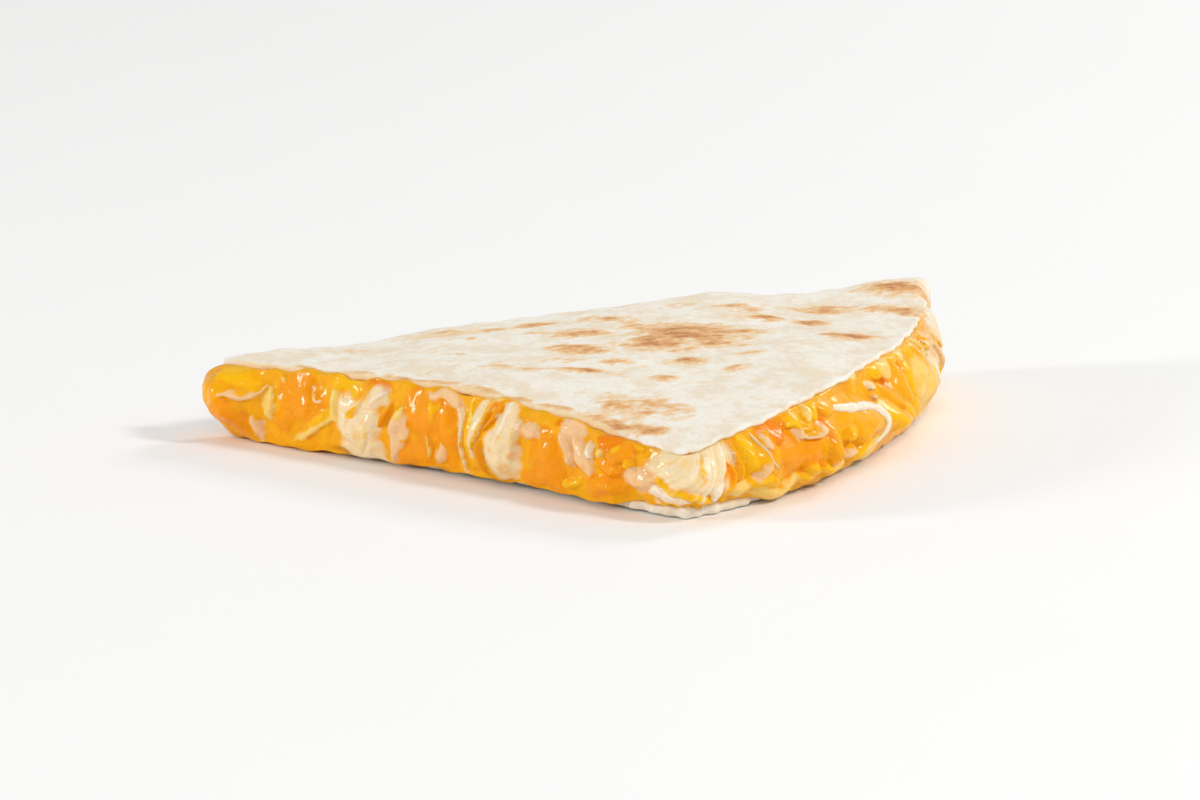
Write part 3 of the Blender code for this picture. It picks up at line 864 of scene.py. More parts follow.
LOBES = (
    # place, height 0..1, half length, half height, turn in degrees, swell, colour
    (-4.5, 0.55, 5.0, 5.5, 0.0, 0.9, AMBER),
    (-3.0, 0.08, 4.0, 1.8, 0.0, 0.8, ORANGE),
    (3.6, 0.92, 4.6, 2.0, -8.0, 1.0, GOLD),
    (1.4, 0.62, 2.6, 2.6, 0.0, 0.9, AMBER),
    (5.3, 0.69, 3.0, 0.55, 22.0, 1.3, PEACH),
    (8.9, 0.52, 0.5, 2.5, 8.0, 1.15, BUTTER),
    (3.6, 0.34, 3.8, 2.6, -20.0, 1.0, ORANGE),
    (7.4, 0.15, 1.0, 2.3, 8.0, 1.15, PEACH),
    (12.0, 0.42, 2.2, 2.6, -30.0, 1.05, ORANGE),
    (14.9, 0.68, 5.2, 3.2, -5.0, 1.05, ORANGE),
    (13.5, 0.06, 5.0, 1.4, 0.0, 0.85, AMBER),
    (18.1, 0.73, 0.35, 0.35, 0.0, 1.3, MILK),
    (11.5, 0.86, 0.5, 0.3, 0.0, 1.2, BUTTER),
    (21.5, 0.58, 0.8, 2.4, -8.0, 1.15, BUTTER),
    (17.6, 0.29, 4.2, 0.7, 24.0, 1.05, BUTTER),
    (18.6, 0.44, 2.8, 1.6, 20.0, 0.95, GOLD),
    (23.0, 0.86, 2.6, 1.6, 0.0, 1.0, GOLD),
    (26.0, 0.46, 4.8, 4.7, -8.0, 1.55, CREAM),
    (28.6, 0.78, 3.1, 1.8, 24.0, 1.6, CREAM),
    (26.4, 0.06, 4.8, 1.9, 0.0, 1.4, CREAM),
    (25.0, 0.66, 0.35, 1.8, -34.0, 1.68, GOLD),
    (27.4, 0.30, 0.3, 2.0, -20.0, 1.62, BUTTER),
    # Painted highlight: the white of this raised streak on the cream.
    (29.3, 0.80, 1.6, 0.3, 38.0, 1.75, MILK),
    # Painted glints: two small white dots at the cream's left border.
    (23.9, 0.52, 0.5, 0.6, 0.0, 1.7, MILK),
    (24.9, 0.38, 0.3, 0.4, 0.0, 1.7, MILK),
    (31.0, 0.57, 0.42, 2.3, -24.0, 1.75, ORANGE),
    (32.8, 0.38, 1.0, 3.2, -14.0, 1.6, PEACH),
    (33.2, 0.62, 0.5, 1.1, -14.0, 1.6, BUTTER),
    (37.2, 0.64, 4.4, 4.2, 0.0, 1.2, ORANGE),
    (35.2, 0.16, 3.2, 2.0, 0.0, 1.1, ORANGE),
    (41.7, 0.46, 2.0, 4.8, 0.0, 1.22, ORANGE),
    (39.2, 0.72, 0.6, 1.9, 0.0, 1.34, GOLD),
    (37.0, 0.33, 0.3, 1.4, -10.0, 1.34, BUTTER),
    (39.6, 0.20, 1.6, 1.3, 0.0, 1.5, PEACH),
    (41.6, 0.92, 2.8, 1.0, -12.0, 1.4, PEACH),
    (43.8, 0.76, 0.8, 2.0, 12.0, 1.4, PEACH),
    (44.5, 0.45, 0.35, 4.6, 0.0, 1.3, CREAM),
    (46.2, 0.62, 0.8, 4.4, 0.0, 1.15, GOLD),
    (47.8, 0.60, 1.4, 4.3, -6.0, 1.4, CREAM),
    (48.7, 0.66, 0.25, 3.0, -6.0, 1.55, GOLD),
    (47.6, 0.13, 2.6, 1.6, 0.0, 1.1, AMBER),
    (50.2, 0.96, 1.3, 0.8, 0.0, 1.3, BUTTER),
    (50.4, 0.84, 0.4, 2.0, -25.0, 1.75, ORANGE),
    (50.1, 0.28, 0.4, 2.4, 8.0, 1.6, ORANGE),
    (53.0, 0.64, 2.8, 4.4, 0.0, 1.7, CREAM),
    (53.6, 0.30, 2.8, 3.4, 0.0, 1.6, CREAM),
    (52.4, 0.74, 0.5, 2.4, -8.0, 1.85, MILK),
    (54.6, 0.52, 0.25, 2.2, 6.0, 1.75, BUTTER),
    (57.2, 0.77, 2.2, 1.9, 35.0, 1.5, PEACH),
    (60.8, 0.94, 3.2, 1.2, 0.0, 1.15, AMBER),
    (60.3, 0.46, 3.4, 4.0, 0.0, 1.35, ORANGE),
    (60.0, 0.12, 4.2, 2.0, 0.0, 1.15, ORANGE),
    (64.8, 0.24, 2.2, 1.0, 0.0, 1.3, GOLD),
    (66.0, 0.88, 2.1, 2.4, 5.0, 1.85, PEACH),
    (65.1, 0.67, 1.2, 1.5, 0.0, 1.75, PEACH),
    (67.8, 0.54, 1.0, 2.3, 14.0, 1.85, PEACH),
    # Painted highlight: the white of this thin ridge on the peach tongue.
    (68.9, 0.68, 0.35, 1.2, 10.0, 1.98, MILK),
    (72.0, 0.90, 2.0, 1.6, 0.0, 1.75, DEEP),
    (73.9, 0.80, 2.3, 1.8, -10.0, 1.95, ORANGE),
    (76.2, 0.95, 1.4, 0.8, 0.0, 1.65, AMBER),
    (73.2, 0.87, 0.5, 0.4, 0.0, 2.05, GOLD),
    (75.7, 0.70, 0.6, 0.4, 20.0, 2.10, GOLD),
    (71.2, 0.74, 0.4, 0.5, 0.0, 1.95, BUTTER),
    (73.4, 0.54, 3.2, 2.2, 0.0, 1.6, ORANGE),
    (71.4, 0.22, 4.2, 2.2, 0.0, 1.3, ORANGE),
    (77.8, 0.44, 4.0, 3.6, 0.0, 1.78, PEACH),
    (86.6, 0.62, 9.8, 5.8, 0.0, 1.62, CREAM),
    (82.5, 0.14, 5.0, 1.4, 0.0, 1.2, MILK),
    (85.6, 0.27, 5.2, 1.35, -14.0, 2.0, GOLD),
    (82.2, 0.40, 0.6, 1.4, 14.0, 1.7, GOLD),
    (87.4, 0.72, 0.45, 2.0, -6.0, 1.85, GOLD),
    (90.2, 0.10, 2.6, 0.8, -10.0, 1.7, AMBER),
    (91.4, 0.28, 0.8, 3.2, 38.0, 1.95, MILK),
    (93.4, 0.38, 1.0, 2.6, 34.0, 1.9, AMBER),
    (95.2, 0.60, 0.6, 3.0, 10.0, 1.6, AMBER),
    (97.6, 0.20, 3.0, 1.3, -10.0, 1.5, BUTTER),
    (97.7, 0.70, 1.7, 3.6, 5.0, 1.75, GOLD),
    (99.2, 0.62, 1.4, 3.0, 12.0, 1.75, AMBER),
    (103.6, 0.97, 4.2, 1.7, 0.0, 0.8, DEEP),
    (104.4, 0.82, 2.6, 1.4, 10.0, 1.2, DEEP),
    (100.6, 0.79, 0.5, 1.2, 18.0, 1.95, PEACH),
    (99.6, 0.43, 1.1, 1.9, 0.0, 1.85, PEACH),
    (100.2, 0.24, 2.4, 0.8, -15.0, 1.7, GOLD),
    (108.2, 0.50, 5.4, 3.7, 4.0, 2.0, ORANGE),
    (104.5, 0.10, 4.0, 1.3, 0.0, 1.3, BUTTER),
    (108.2, 0.97, 1.6, 0.9, 0.0, 1.6, GOLD),
    (110.4, 0.88, 1.3, 0.9, -20.0, 1.8, AMBER),
    (112.2, 0.98, 1.6, 0.9, 0.0, 1.7, BUTTER),
    (114.2, 0.90, 1.5, 1.1, 15.0, 1.8, GOLD),
    (117.2, 0.86, 1.9, 1.4, 0.0, 1.75, AMBER),
    (115.9, 0.99, 1.6, 0.7, 0.0, 1.6, GOLD),
    (109.1, 0.83, 0.35, 1.1, 10.0, 2.05, PEACH),
    (111.8, 0.735, 2.6, 0.42, -9.0, 2.15, PEACH),
    (110.2, 0.24, 1.2, 1.0, 0.0, 2.0, GOLD),
    (112.6, 0.25, 1.1, 1.1, 0.0, 2.1, GOLD),
    (109.4, 0.11, 1.6, 0.9, 0.0, 1.7, GOLD),
    (115.2, 0.18, 1.5, 1.1, 0.0, 2.05, GOLD),
    (118.6, 0.12, 1.6, 1.0, 0.0, 1.9, BUTTER),
    (116.2, 0.46, 1.6, 2.4, 10.0, 1.95, AMBER),
    (121.4, 0.50, 1.2, 0.8, 30.0, 2.1, GOLD),
    (122.2, 0.23, 1.8, 1.0, 20.0, 2.1, PEACH),
    (125.8, 0.21, 2.0, 1.2, 10.0, 2.1, GOLD),
    (129.0, 0.14, 2.0, 1.0, 10.0, 1.9, BUTTER),
    (125.0, 0.57, 6.8, 2.5, -15.0, 2.35, AMBER),
    (122.4, 0.92, 4.6, 1.4, -8.0, 0.7, AMBER),
    (128.0, 0.90, 2.6, 1.6, -30.0, 0.9, GOLD),
    (128.8, 0.99, 2.0, 0.8, 0.0, 1.0, BUTTER),
    (133.6, 0.85, 0.65, 0.6, 0.0, 1.45, CREAM),
    (133.0, 0.71, 0.5, 0.5, 0.0, 1.5, PEACH),
    (136.0, 0.98, 1.7, 1.0, 0.0, 1.5, GOLD),
    (139.6, 0.98, 1.8, 1.1, 0.0, 1.8, BUTTER),
    (143.2, 0.95, 1.6, 1.3, 0.0, 1.9, GOLD),
    (146.4, 0.99, 1.8, 1.1, 0.0, 1.7, BUTTER),
    (149.8, 0.97, 2.0, 1.2, 0.0, 1.6, GOLD),
    (138.6, 0.66, 3.6, 2.6, -25.0, 1.75, AMBER),
    (143.6, 0.66, 2.6, 2.2, 10.0, 1.85, AMBER),
    (146.9, 0.70, 1.6, 1.8, 0.0, 1.8, GOLD),
    (136.2, 0.36, 4.4, 2.4, -10.0, 1.65, GOLD),
    (143.0, 0.34, 3.4, 2.0, 0.0, 1.55, GOLD),
    (151.6, 0.66, 2.6, 3.6, 20.0, 1.7, BUTTER),
    (156.0, 0.52, 4.2, 3.4, 30.0, 1.6, BUTTER),
    (149.8, 0.30, 3.4, 2.4, 20.0, 1.5, GOLD),
    (156.6, 0.93, 2.6, 0.8, -30.0, 1.7, BUTTER),
    (160.6, 0.86, 2.4, 0.5, -30.0, 1.60, AMBER),
    (152.2, 0.74, 0.5, 2.8, 20.0, 1.86, GOLD),
    (154.8, 0.60, 0.6, 3.4, 24.0, 1.78, PEACH),
    (157.4, 0.62, 0.4, 3.0, 28.0, 1.70, CREAM),
    (159.4, 0.48, 0.6, 3.2, 30.0, 1.62, MILK),
    (164.0, 0.66, 5.4, 4.0, 30.0, 1.5, CREAM),
    (162.6, 0.70, 0.4, 2.6, 24.0, 1.56, PEACH),
    (165.4, 0.58, 0.4, 3.2, 24.0, 1.54, GOLD),
    (168.6, 0.60, 0.5, 3.4, 20.0, 1.52, PEACH),
    (167.0, 0.80, 4.2, 0.40, -22.0, 1.54, AMBER),
    (160.0, 0.20, 6.0, 2.6, 0.0, 1.3, BUTTER),
    (174.0, 0.58, 7.0, 6.0, 0.0, 1.35, CREAM),
    (176.0, 0.90, 8.0, 2.4, 0.0, 1.40, MILK),
    (184.0, 0.50, 6.0, 6.0, 0.0, 1.20, CREAM),
)
# Pockets: recesses pressed into the wall and coloured. The deep orange and brown ones are painted
# shade under the rims, in notches and along the foot.
POCKETS = (
    # place, height 0..1, half length, half height, turn, depth, colour
    (28.6, 0.97, 3.0, 0.6, 0.0, 0.6, DEEP),
    (63.4, 0.92, 0.9, 0.7, 0.0, 0.5, DEEP),
    (49.8, 0.93, 0.6, 0.5, 0.0, 0.4, DEEP),
    (124.0, 0.93, 3.6, 0.9, -10.0, 0.5, AMBER),
    (138.4, 0.84, 2.6, 0.5, -5.0, 0.9, DEEP),
    (144.6, 0.82, 1.2, 0.4, 0.0, 0.6, DEEP),
    (92.4, 0.46, 0.5, 1.6, 34.0, 0.5, DEEP),
    (103.0, 0.98, 3.4, 1.0, 0.0, 0.7, DEEP),
    (115.2, 0.70, 1.0, 1.4, 0.0, 0.5, DEEP),
    (161.2, 0.97, 0.7, 0.5, 0.0, 0.3, SHADE_BROWN),
    (22.6, 0.00, 2.6, 0.45, 0.0, 0.1, SHADE_BROWN),
    (37.6, 0.00, 4.2, 0.40, 0.0, 0.1, SHADE_BROWN),
    (52.0, 0.00, 3.0, 0.35, 0.0, 0.1, SHADE_BROWN),
)

# Folds of the white cheese over the tip, their colours, and painted shade in creases and pockets.
FOLDS_AT = 93.8
FOLDS_FROM = 1.9
FOLDS_SPAN = (79.0, 94.2)
FOLDS_BEGIN = 3.0
FOLDS_END = 1.5
FOLDS_GROW_FROM = 82.0
FOLDS_GROW_LENGTH = 8.0
FOLDS_AT_FIRST = 0.35
FOLDS_EVEN = 0.75
FOLDS_UNEVEN = 0.35
FOLDS_UNEVEN_TURN = 1.3
FOLDS_LENGTHS = (2.6, 1.5, 0.9)
FOLDS_SEED = 42
FOLDS_FOOT = 0.25
FOLDS_BEND = 0.35
FOLDS_RISE = 0.24
CREST_MILK = 0.8
TROUGH_BUTTER = 0.6
# Painted shade: how much the creases between lobes are darkened.
CREASE_SHADE = 0.26
CREASE_POWER = 3
POCKET_SHADE = 0.9


def step_up(place, start):
    """Smooth step from 0 to 1 over one step length from a place of the open edge."""
    return smooth((place - start) / STEP_LENGTH)


def belly(share):
    """Rounded profile of the filling's wall, 0 at its foot and its top."""
    return hump(share) ** BELLY_POWER


def lump_swell(place, height):
    """Total swell of the wide lumps at a place along the edge and a height 0..1."""
    total = 0.0
    for at, level, half_length, half_height, swell in LUMPS:
        off = ((place - at) / half_length) ** 2 + ((height - level) / half_height) ** 2
        total = total + swell * np.exp(-off)
    return total


def squared_off(place, height, spot):
    """Squared distance from a spot's middle, 1 on the edge of its turned ellipse."""
    at, level, half_length, half_height, turn = spot[:5]
    off = (place - at) + 1j * (height - level) * MELTED_HEIGHT
    off = off * np.exp(-1j * math.radians(turn))
    return (off.real / half_length) ** 2 + (off.imag / half_height) ** 2


def dome(place, height, lobe):
    """Height of a lobe: its swell in the middle, less a parabola, and a quick fall past its edge.
    Small lobes are flatter, so that a streak keeps its width."""
    off = squared_off(place, height, lobe)
    rise = min(lobe[5], DOME_RISE * min(lobe[2:4]))
    return lobe[5] - rise * off - DOME_FALL * np.maximum(0.0, off - 1.0)


def hanging_folds(place, height):
    """Folds of the white cheese that hangs over the tip, and how much they count at a place.

    They are ripples across lines that fan out from one point above the rim. They are weak on
    the knife cut and full past the tip, and a sine wave makes some stronger than others.
    """
    fan = (place - FOLDS_AT) / (FOLDS_FROM - height)
    over = smooth((place - FOLDS_SPAN[0]) / FOLDS_BEGIN)
    over = over * smooth((FOLDS_SPAN[1] - place) / FOLDS_END)
    strength = mix(FOLDS_AT_FIRST, 1.0, smooth((place - FOLDS_GROW_FROM) / FOLDS_GROW_LENGTH))
    strength = strength * (FOLDS_EVEN + FOLDS_UNEVEN * np.sin(FOLDS_UNEVEN_TURN * place))
    folds = ripple(fan, FOLDS_LENGTHS, FOLDS_SEED) * strength
    return folds, over * smooth(height / FOLDS_FOOT)


def melted_lobes(bent, frayed, bleed):
    """Relief, crease shares for painted shade, and colour of the lobes, at places and heights that
    waves have bent.

    The relief is the logarithm of the sum of the domes' exponentials, a soft maximum. It passes
    the highest dome most where two are equal, and there the crease is. The colour is a mean of
    the lobes' colours with exponentials of the domes as weights: sharp weights give clean
    borders, blunt ones let the cheeses run together, and bleed mixes the two.
    """
    soft_sum = 0.0 * bleed
    outermost = LOBE_BASE + 0.0 * bleed
    sums = {sharpness: np.zeros((*bleed.shape, 4)) for sharpness in (COLOUR_EDGE, COLOUR_BLEED)}
    for lobe in (GROUND_LOBE, *LOBES):
        swell = dome(*bent, lobe)
        soft_sum += np.exp(CREASE * (swell - 1.0))
        outermost = np.maximum(outermost, swell)
        patch = dome(*frayed, lobe)
        for sharpness, total in sums.items():
            total += np.exp(sharpness * (patch[..., None] - 1.0)) * np.array([*lobe[6], 1.0])
    soft_top = np.log(soft_sum) / CREASE + 1.0
    shade_in_creases = np.clip((soft_top - outermost) * CREASE / math.log(2.0), 0.0, 1.0) ** CREASE_POWER
    edged, bled = (total[..., :3] / total[..., 3:] for total in sums.values())
    return soft_top - 1.0, shade_in_creases, mix(edged, bled, bleed[..., None])


def stained(colour, stain, share):
    """A colour field mixed with one colour, by a share at each point."""
    return mix(colour, np.array(stain), share[..., None])


def melted(place, height):
    """Relief and colour of the filling's wall.

    Places and heights are first bent a little by waves, so that no lobe has a plain oval
    outline, and borders between colours are frayed by shorter ones. Thin veins follow the crests
    and troughs of other waves. Creases are darkened with painted shade, and pockets are pressed in
    and coloured, mostly with painted shade. The knife cut has lower lobes, with waves of its own.
    """
    grid = np.stack([place, height * MELTED_HEIGHT, 0.0 * place], axis=-1)
    waves = {name: space_waves(grid, *kind) for name, kind in MELT_WAVES.items()}
    bent_place = place + BEND_PLACE * waves["place_bend"]
    bent_height = height + BEND_HEIGHT * waves["height_bend"]
    frayed_place = bent_place + FRAY_PLACE * waves["place_fray"]
    frayed_height = bent_height + FRAY_HEIGHT * waves["height_fray"]
    bleed = np.clip(BLEED_SHARE + BLEED_CHANGE * waves["bleed"], *BLEED_LIMITS)
    relief, shade_in_creases, colour = melted_lobes(
        (bent_place, bent_height), (frayed_place, frayed_height), bleed)
    full = smooth((place - FULL_RELIEF_FROM) / FULL_RELIEF_LENGTH)
    relief = relief * mix(CUT_RELIEF, 1.0, full)

    amber = smooth((waves["veins"] - AMBER_FROM) / AMBER_RANGE)
    deep = smooth((-waves["veins"] - DEEP_FROM) / DEEP_RANGE)
    colour = stained(colour, AMBER, VEIN_SHARE * amber)
    colour = stained(colour, DEEP, VEIN_SHARE * deep)
    # Painted shade: the creases between lobes are darkened towards amber.
    colour = mix(colour, colour * np.array(AMBER), CREASE_SHADE * shade_in_creases[..., None])

    folds, over = hanging_folds(
        mix(place, bent_place, FOLDS_BEND), mix(height, bent_height, FOLDS_BEND))
    relief = relief + FOLDS_RISE * folds * over
    colour = stained(colour, MILK, CREST_MILK * over * np.clip(folds, 0.0, 1.0))
    colour = stained(colour, BUTTER, TROUGH_BUTTER * over * np.clip(-folds, 0.0, 1.0))

    # Pockets are pressed in, and mostly darkened with painted shade.
    for pocket in POCKETS:
        weight = np.exp(-(squared_off(bent_place, bent_height, pocket) ** 2))
        relief = relief - pocket[5] * weight
        colour = stained(colour, pocket[6], POCKET_SHADE * weight)
    on_cut = 1.0 - smooth((place - CUT_WAVES_TO) / CUT_WAVES_LENGTH)
    relief = relief + CUT_WAVE_RISE * on_cut * waves["cut"]
    return relief + mix(*FINE_RISE, on_cut) * waves["fine"], colour


def inward_from(plan):
    """Unit direction from points of the plan towards the middle of the filling."""
    return (FILLING_CENTRE - plan) / np.abs(FILLING_CENTRE - plan)


def behind_corner(place):
    """How far round the left corner a place is: 0 on the cut, 1 where the wall ends behind it."""
    return np.clip((CORNER_TO - place) / (CORNER_TO - CORNER_FROM), 0.0, 1.0)


def wall_section(place):
    """Foot and direction of the wall at a place, and how much it belongs to the left corner.

    Along the open edge the direction is square to it. Round the corner the foot eases over to
    one point, and the direction turns evenly.
    """
    behind = behind_corner(place)
    open_place = np.maximum(place, CORNER_TO)
    base = mix(open_edge(open_place), CORNER_BASE, smooth(CORNER_EASE * behind))
    turn = np.radians(mix(*CORNER_TURN, behind))
    out = np.where(place < CORNER_TO, np.exp(1j * turn), edge_out(open_place))
    corner = 1.0 - smooth((place - CORNER_TO) / CORNER_LENGTH)
    return base, out, corner


def wall_lips(place, corner):
    """How far the wall's foot and top stand out from the rim, where the lower rim is bare, and
    how far the top laps up over the upper rim. Each goes from one state to the next by a smooth
    step along the edge."""
    bare = step_up(place, BARE_FROM) * (1.0 - step_up(place, BARE_TO - STEP_LENGTH))
    bare = np.maximum(bare, step_up(place, RIGHT_RISES))
    low_out = mix(LIP_OUT, CORNER_LIP, corner)
    low_out = mix(low_out, -TOP_RECESS, step_up(place, RIGHT_TUCKS))
    fuller = 1.0 - step_up(place, BEHIND_FROM)
    smear_out = step_up(place, SMEARED_FROM) * (1.0 - step_up(place, SMEARED_TO - STEP_LENGTH))
    smear_up = step_up(place, SMEARED_FROM + STEP_LENGTH)
    smear_up = smear_up * (1.0 - step_up(place, SMEARED_TO - 2.0 * STEP_LENGTH))
    patchy = PATCHY_SHARE + PATCHY_CHANGE * ripple(place, PATCHY_LENGTHS, PATCHY_SEED)
    patchy = np.clip(patchy, 0.0, 1.0)
    low_out = mix(low_out, -BARE_RECESS, bare)
    high_out = mix(-TOP_RECESS, LIP_OUT, smear_out * mix(THIN_SMEAR, 1.0, patchy))
    return low_out + FULLER_FOOT * fuller, high_out + FULLER_TOP * fuller, bare, smear_up * patchy


def filling_wall(place, height, lift=0.0):
    """Points and colours of the filling's open wall by place and height 0..1.

    The wall stands out by its lips, a rounded belly, the wide lumps and the lobes, and what
    stands out furthest sags a little. At its right end a parabola draws it back into the fold.
    Behind the left corner it closes in, and the corner's foot is undercut.
    """
    base, out, corner = wall_section(place)
    low_out, high_out, bare, smear_up = wall_lips(place, corner)
    swell = mix(CUT_SWELL, ARC_SWELL, smooth((place - CUT_LENGTH) / SWELL_CHANGE))
    relief, colour = melted(place, height)
    relief = relief * hump(height) ** RELIEF_POWER
    distance = mix(low_out, high_out, height) + LIP_WALL
    distance = distance + belly(height) * (swell + lump_swell(place, height))
    distance = distance + belly(height**CORNER_SKEW) * CORNER_SWELL * corner + relief + lift
    into_fold = np.clip((place - EDGE_LENGTH + LAST_MARGIN + LAST_TURN) / LAST_TURN, 0.0, 1.0)
    distance = distance - LAST_RETREAT * into_fold**2
    distance = distance * mix(1.0, CORNER_CLOSED, smooth(2.0 * behind_corner(place) - 1.0))
    plan = base + out * distance
    plan = plan + CORNER_UNDERCUT * corner * (1.0 - height) * inward_from(CORNER_BASE)
    drip = ripple(place, DRIP_LENGTHS, DRIP_SEED)
    lip = mix(LIP_HEIGHT + LIP_DRIP * drip, rim_wall(place, LAST_LAP) + CURL_GAP, bare)
    drop = mix(RIM_THICKNESS - RIM_OVERLAP, SMEAR_DROP + SMEAR_DRIP * drip, smear_up)
    low = lower_lift(plan) + lip
    high = top_height(plan) - drop
    sag = SAG * relief * hump(height)
    return joined(plan, mix(low, high, height) - sag), colour


def filling_floor(plan):
    """Underside of the filling inside the wedge, a gap above the lower layer."""
    return lower_lift(plan) + THICKNESS + GAP


def filling_ceiling(plan):
    """Upper side of the filling inside the wedge, a gap below the upper layer."""
    return top_height(plan) - THICKNESS - GAP


def back_wall(across, rows):
    """The filling inside the fold, out of sight: half ellipses, a gap inside the tortilla's."""
    on_fold = FOLD_LENGTH * across + 0j
    half = 0.5 * top_height(on_fold)
    depth = fold_depth(across) - THICKNESS - GAP - BACK_CLEARANCE
    angle = np.pi * (rows - 0.5)
    height = half + (half - THICKNESS - GAP) * np.sin(angle)
    return joined(on_fold + 1j * depth * np.cos(angle), height)


def ring_faces(rows, columns):
    """Faces of a closed skin of rows round a pole at each end. Poles are the last two points."""
    index = np.arange(rows * columns).reshape(rows, columns)
    closed = np.hstack([index, index[:, :1]])
    faces = grid_faces(closed)
    first_pole = rows * columns
    faces += [(first_pole, right, left) for left, right in zip(closed[0, :-1], closed[0, 1:])]
    faces += [(first_pole + 1, left, right) for left, right in zip(closed[-1, :-1], closed[-1, 1:])]
    return [tuple(int(corner) for corner in face) for face in faces]


# Front of the skin: the wall, turned in under its foot and over its head.
places = np.linspace(CORNER_FROM, EDGE_LENGTH - LAST_MARGIN, WALL_COLUMNS)
heights = np.linspace(0.0, 1.0, WALL_ROWS)
place_grid, height_grid = np.meshgrid(places, heights)
wall, wall_colour = filling_wall(place_grid, height_grid)

base, out, corner = wall_section(places)
low_out, high_out, bare, smear_up = wall_lips(places, corner)
inward = inward_from(base)
sheet_share = (places - END_STEP) / (EDGE_LENGTH - 2.0 * END_STEP)
setback = SETBACK_SHARE * LEFT_RETREAT * (1.0 - smooth(sheet_share / END_SHARE))
foot = base + out * (low_out - TUCK * (1.0 - corner)) + inward * setback
head = base + out * (high_out - TUCK)
inner_foot = base + inward * (INNER_RECESS + setback)
inner_head = base + inward * (INNER_RECESS + TUCK)
front = np.concatenate([
    joined(inner_foot, filling_floor(inner_foot))[None],
    joined(foot, wall[0, :, 2] + FOOT_RISE)[None], wall,
    joined(head, wall[-1, :, 2] - HEAD_DROP + SMEAR_RISE * smear_up)[None],
    joined(inner_head, filling_ceiling(inner_head))[None]])

# Back of the skin, inside the fold, and one column at the throat between it and the left corner.
row_shares = np.linspace(0.0, 1.0, len(front))
fold_across, fold_rows = np.meshgrid(np.linspace(*BACK_SPAN, BACK_COLUMNS), row_shares)
back = back_wall(fold_across, fold_rows)
throat = joined(THROAT + 0.0 * row_shares,
                mix(filling_floor(THROAT), filling_ceiling(THROAT), row_shares))
skin = np.concatenate([front, back, throat[:, None]], axis=1)

# Floor and ceiling: rings that shrink to one point each.
floor_edge = skin[0, :, 0] + 1j * skin[0, :, 1]
ceiling_edge = skin[-1, :, 0] + 1j * skin[-1, :, 1]
shares = np.arange(1, FLOOR_RINGS) / FLOOR_RINGS
floor_rings = [mix(FILLING_CENTRE, floor_edge, share) for share in shares]
ceiling_rings = [mix(FILLING_CENTRE, ceiling_edge, share) for share in shares[::-1]]
skin = np.concatenate([
    np.stack([joined(ring, filling_floor(ring)) for ring in floor_rings]), skin,
    np.stack([joined(ring, filling_ceiling(ring)) for ring in ceiling_rings])])
middle = np.array([FILLING_CENTRE])
poles = np.concatenate([joined(middle, filling_floor(middle)),
                        joined(middle, filling_ceiling(middle))])

colours = np.ones((*skin.shape[:2], 4)) * np.array([*AMBER, 1.0])
wall_start = FLOOR_RINGS + 1
colours[wall_start:wall_start + WALL_ROWS, :WALL_COLUMNS, :3] = wall_colour
colours = np.concatenate([colours.reshape(-1, 4), [[*AMBER, 1.0]] * 2])

molten = Finish("melted_cheese_blend")
tint = molten.mark("melt", "Color")
mottle = molten.noise(1.6, 3.0)
curd = molten.noise(0.5, 2.0)
shaded = molten.node("ShaderNodeHueSaturation", {}, {
    "Color": tint, "Value": 0.88 + mottle * 0.22, "Saturation": 1.18 - curd * 0.16})
molten.set("Base Color", shaded)
molten.set("Roughness", 0.15 + mottle * 0.20)
molten.set("Specular IOR Level", 0.07)
molten.set("Coat Weight", 0.28)
molten.set("Coat Roughness", 0.08)
molten.set("Subsurface Weight", 0.25)
molten.set("Subsurface Radius", (1.0, 0.45, 0.15))
molten.set("Subsurface Scale", 0.0016)
molten.bump(mottle * 0.55 + curd * 0.45, 0.40)

cheese = wedge_mesh("melted_cheese", np.concatenate([skin.reshape(-1, 3), poles]),
                    ring_faces(*skin.shape[:2]), {"melt": colours}, molten)
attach(cheese, "root")
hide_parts("cheese_filling")


# ---------------------------------------------------------------------------------------------
# Cheese strands. Thin strings of white cheese that stretched as the wedge was pulled away and
# fell back on the filling. Each is a flattened cord along a path on the wall, thin at its ends.
STRANDS = (
    # colour, thickness in the middle, places and heights on the wall
    (MILK, 1.20, ((118.5, 0.84), (121.9, 0.78), (127.0, 0.71), (131.0, 0.62), (132.9, 0.46),
                  (132.4, 0.28), (130.4, 0.14))),
    (PEACH, 0.46, ((99.0, 0.98), (99.5, 0.82), (100.4, 0.62), (101.5, 0.47), (103.4, 0.36))),
)
STRAND_STEPS = 64
STRAND_SIDES = 12
PATH_ROUNDS = 24
CENTRE_ROUNDS = 20
STRAND_LIFT = (-0.5, 0.2)
LIFT_POWER = 0.35
TAPER = (1.12, 0.72)
TAPER_POWER = 0.25
UNEVEN_SHARE = 0.10
UNEVEN_SPAN = 20.0
UNEVEN_LENGTHS = (7.3, 4.1, 2.3)
UNEVEN_SEED = 6
LEAST_RADIUS = 0.02
FLATTENING = 1.25


def averaged(points, rounds):
    """Points of a path, with each but the ends moved halfway to its neighbours' mean, in rounds."""
    for _ in range(rounds):
        points[1:-1] = 0.25 * points[:-2] + 0.5 * points[1:-1] + 0.25 * points[2:]
    return points


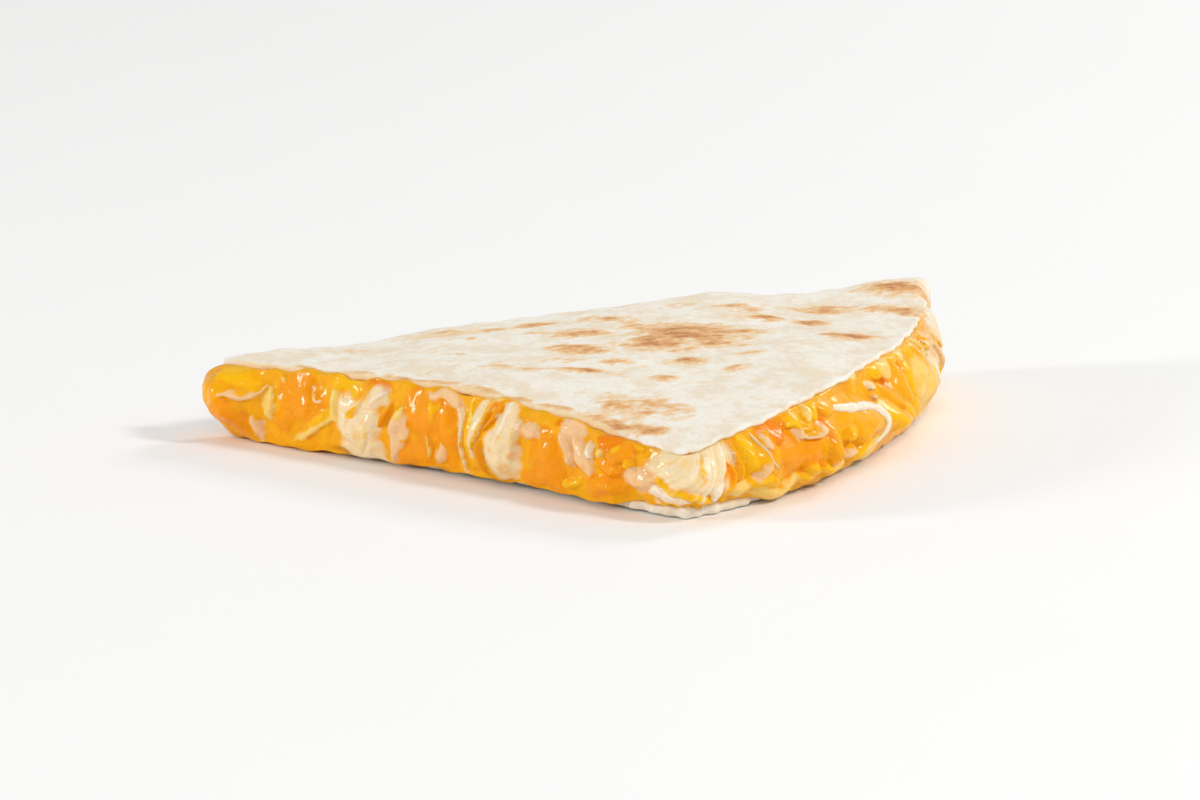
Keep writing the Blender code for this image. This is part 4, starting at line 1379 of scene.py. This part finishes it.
def eased_path(stops, steps):
    """Smooth path near its stops: straight runs between them, then averaged in many rounds."""
    stops = np.array(stops)
    run = np.linspace(0.0, len(stops) - 1.0, steps)
    path = np.stack([np.interp(run, np.arange(len(stops)), stops[:, part])
                     for part in range(2)], axis=-1)
    return averaged(path, PATH_ROUNDS)


def strand_skin(stops, thickness):
    """A flattened round section carried along a path on the wall.

    Its radius swells from its ends as the fourth root of a parabola, with a taper and ripples.
    Its ends are sunk in the cheese, and its middle lies on it.
    """
    path = eased_path(stops, STRAND_STEPS)
    share = np.linspace(0.0, 1.0, STRAND_STEPS)
    lift = thickness * mix(*STRAND_LIFT, hump(share) ** LIFT_POWER)
    centres, _ = filling_wall(path[:, 0], path[:, 1], lift)
    centres = averaged(centres, CENTRE_ROUNDS)
    along = np.gradient(centres, axis=0)
    along /= np.linalg.norm(along, axis=1, keepdims=True)
    out = wall_section(path[:, 0])[1]
    side = np.cross(along, joined(out, 0.0 * path[:, 0]))
    side /= np.linalg.norm(side, axis=1, keepdims=True)
    up = np.cross(side, along)
    radius = 0.5 * thickness * hump(share) ** TAPER_POWER * mix(*TAPER, share)
    uneven = ripple(UNEVEN_SPAN * share, UNEVEN_LENGTHS, UNEVEN_SEED)
    radius = np.maximum(radius * (1.0 + UNEVEN_SHARE * uneven), LEAST_RADIUS)
    turns = 2.0 * np.pi * np.arange(STRAND_SIDES) / STRAND_SIDES
    ring = (np.cos(turns)[None, :, None] * side[:, None] * FLATTENING
            + np.sin(turns)[None, :, None] * up[:, None])
    skin = centres[:, None] + radius[:, None, None] * ring
    return skin, np.stack([centres[0], centres[-1]])


strand_points, strand_faces, strand_colours = [], [], []
count = 0
for colour, thickness, stops in STRANDS:
    skin, ends = strand_skin(stops, thickness)
    strand_points += [skin.reshape(-1, 3), ends]
    strand_faces += [tuple(corner + count for corner in face)
                     for face in ring_faces(STRAND_STEPS, STRAND_SIDES)]
    strand_colours += [[*colour, 1.0]] * (STRAND_STEPS * STRAND_SIDES + 2)
    count += STRAND_STEPS * STRAND_SIDES + 2
strands = wedge_mesh("cheese_strands", np.concatenate(strand_points), strand_faces,
                     {"melt": np.array(strand_colours)}, molten)
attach(strands, "root")
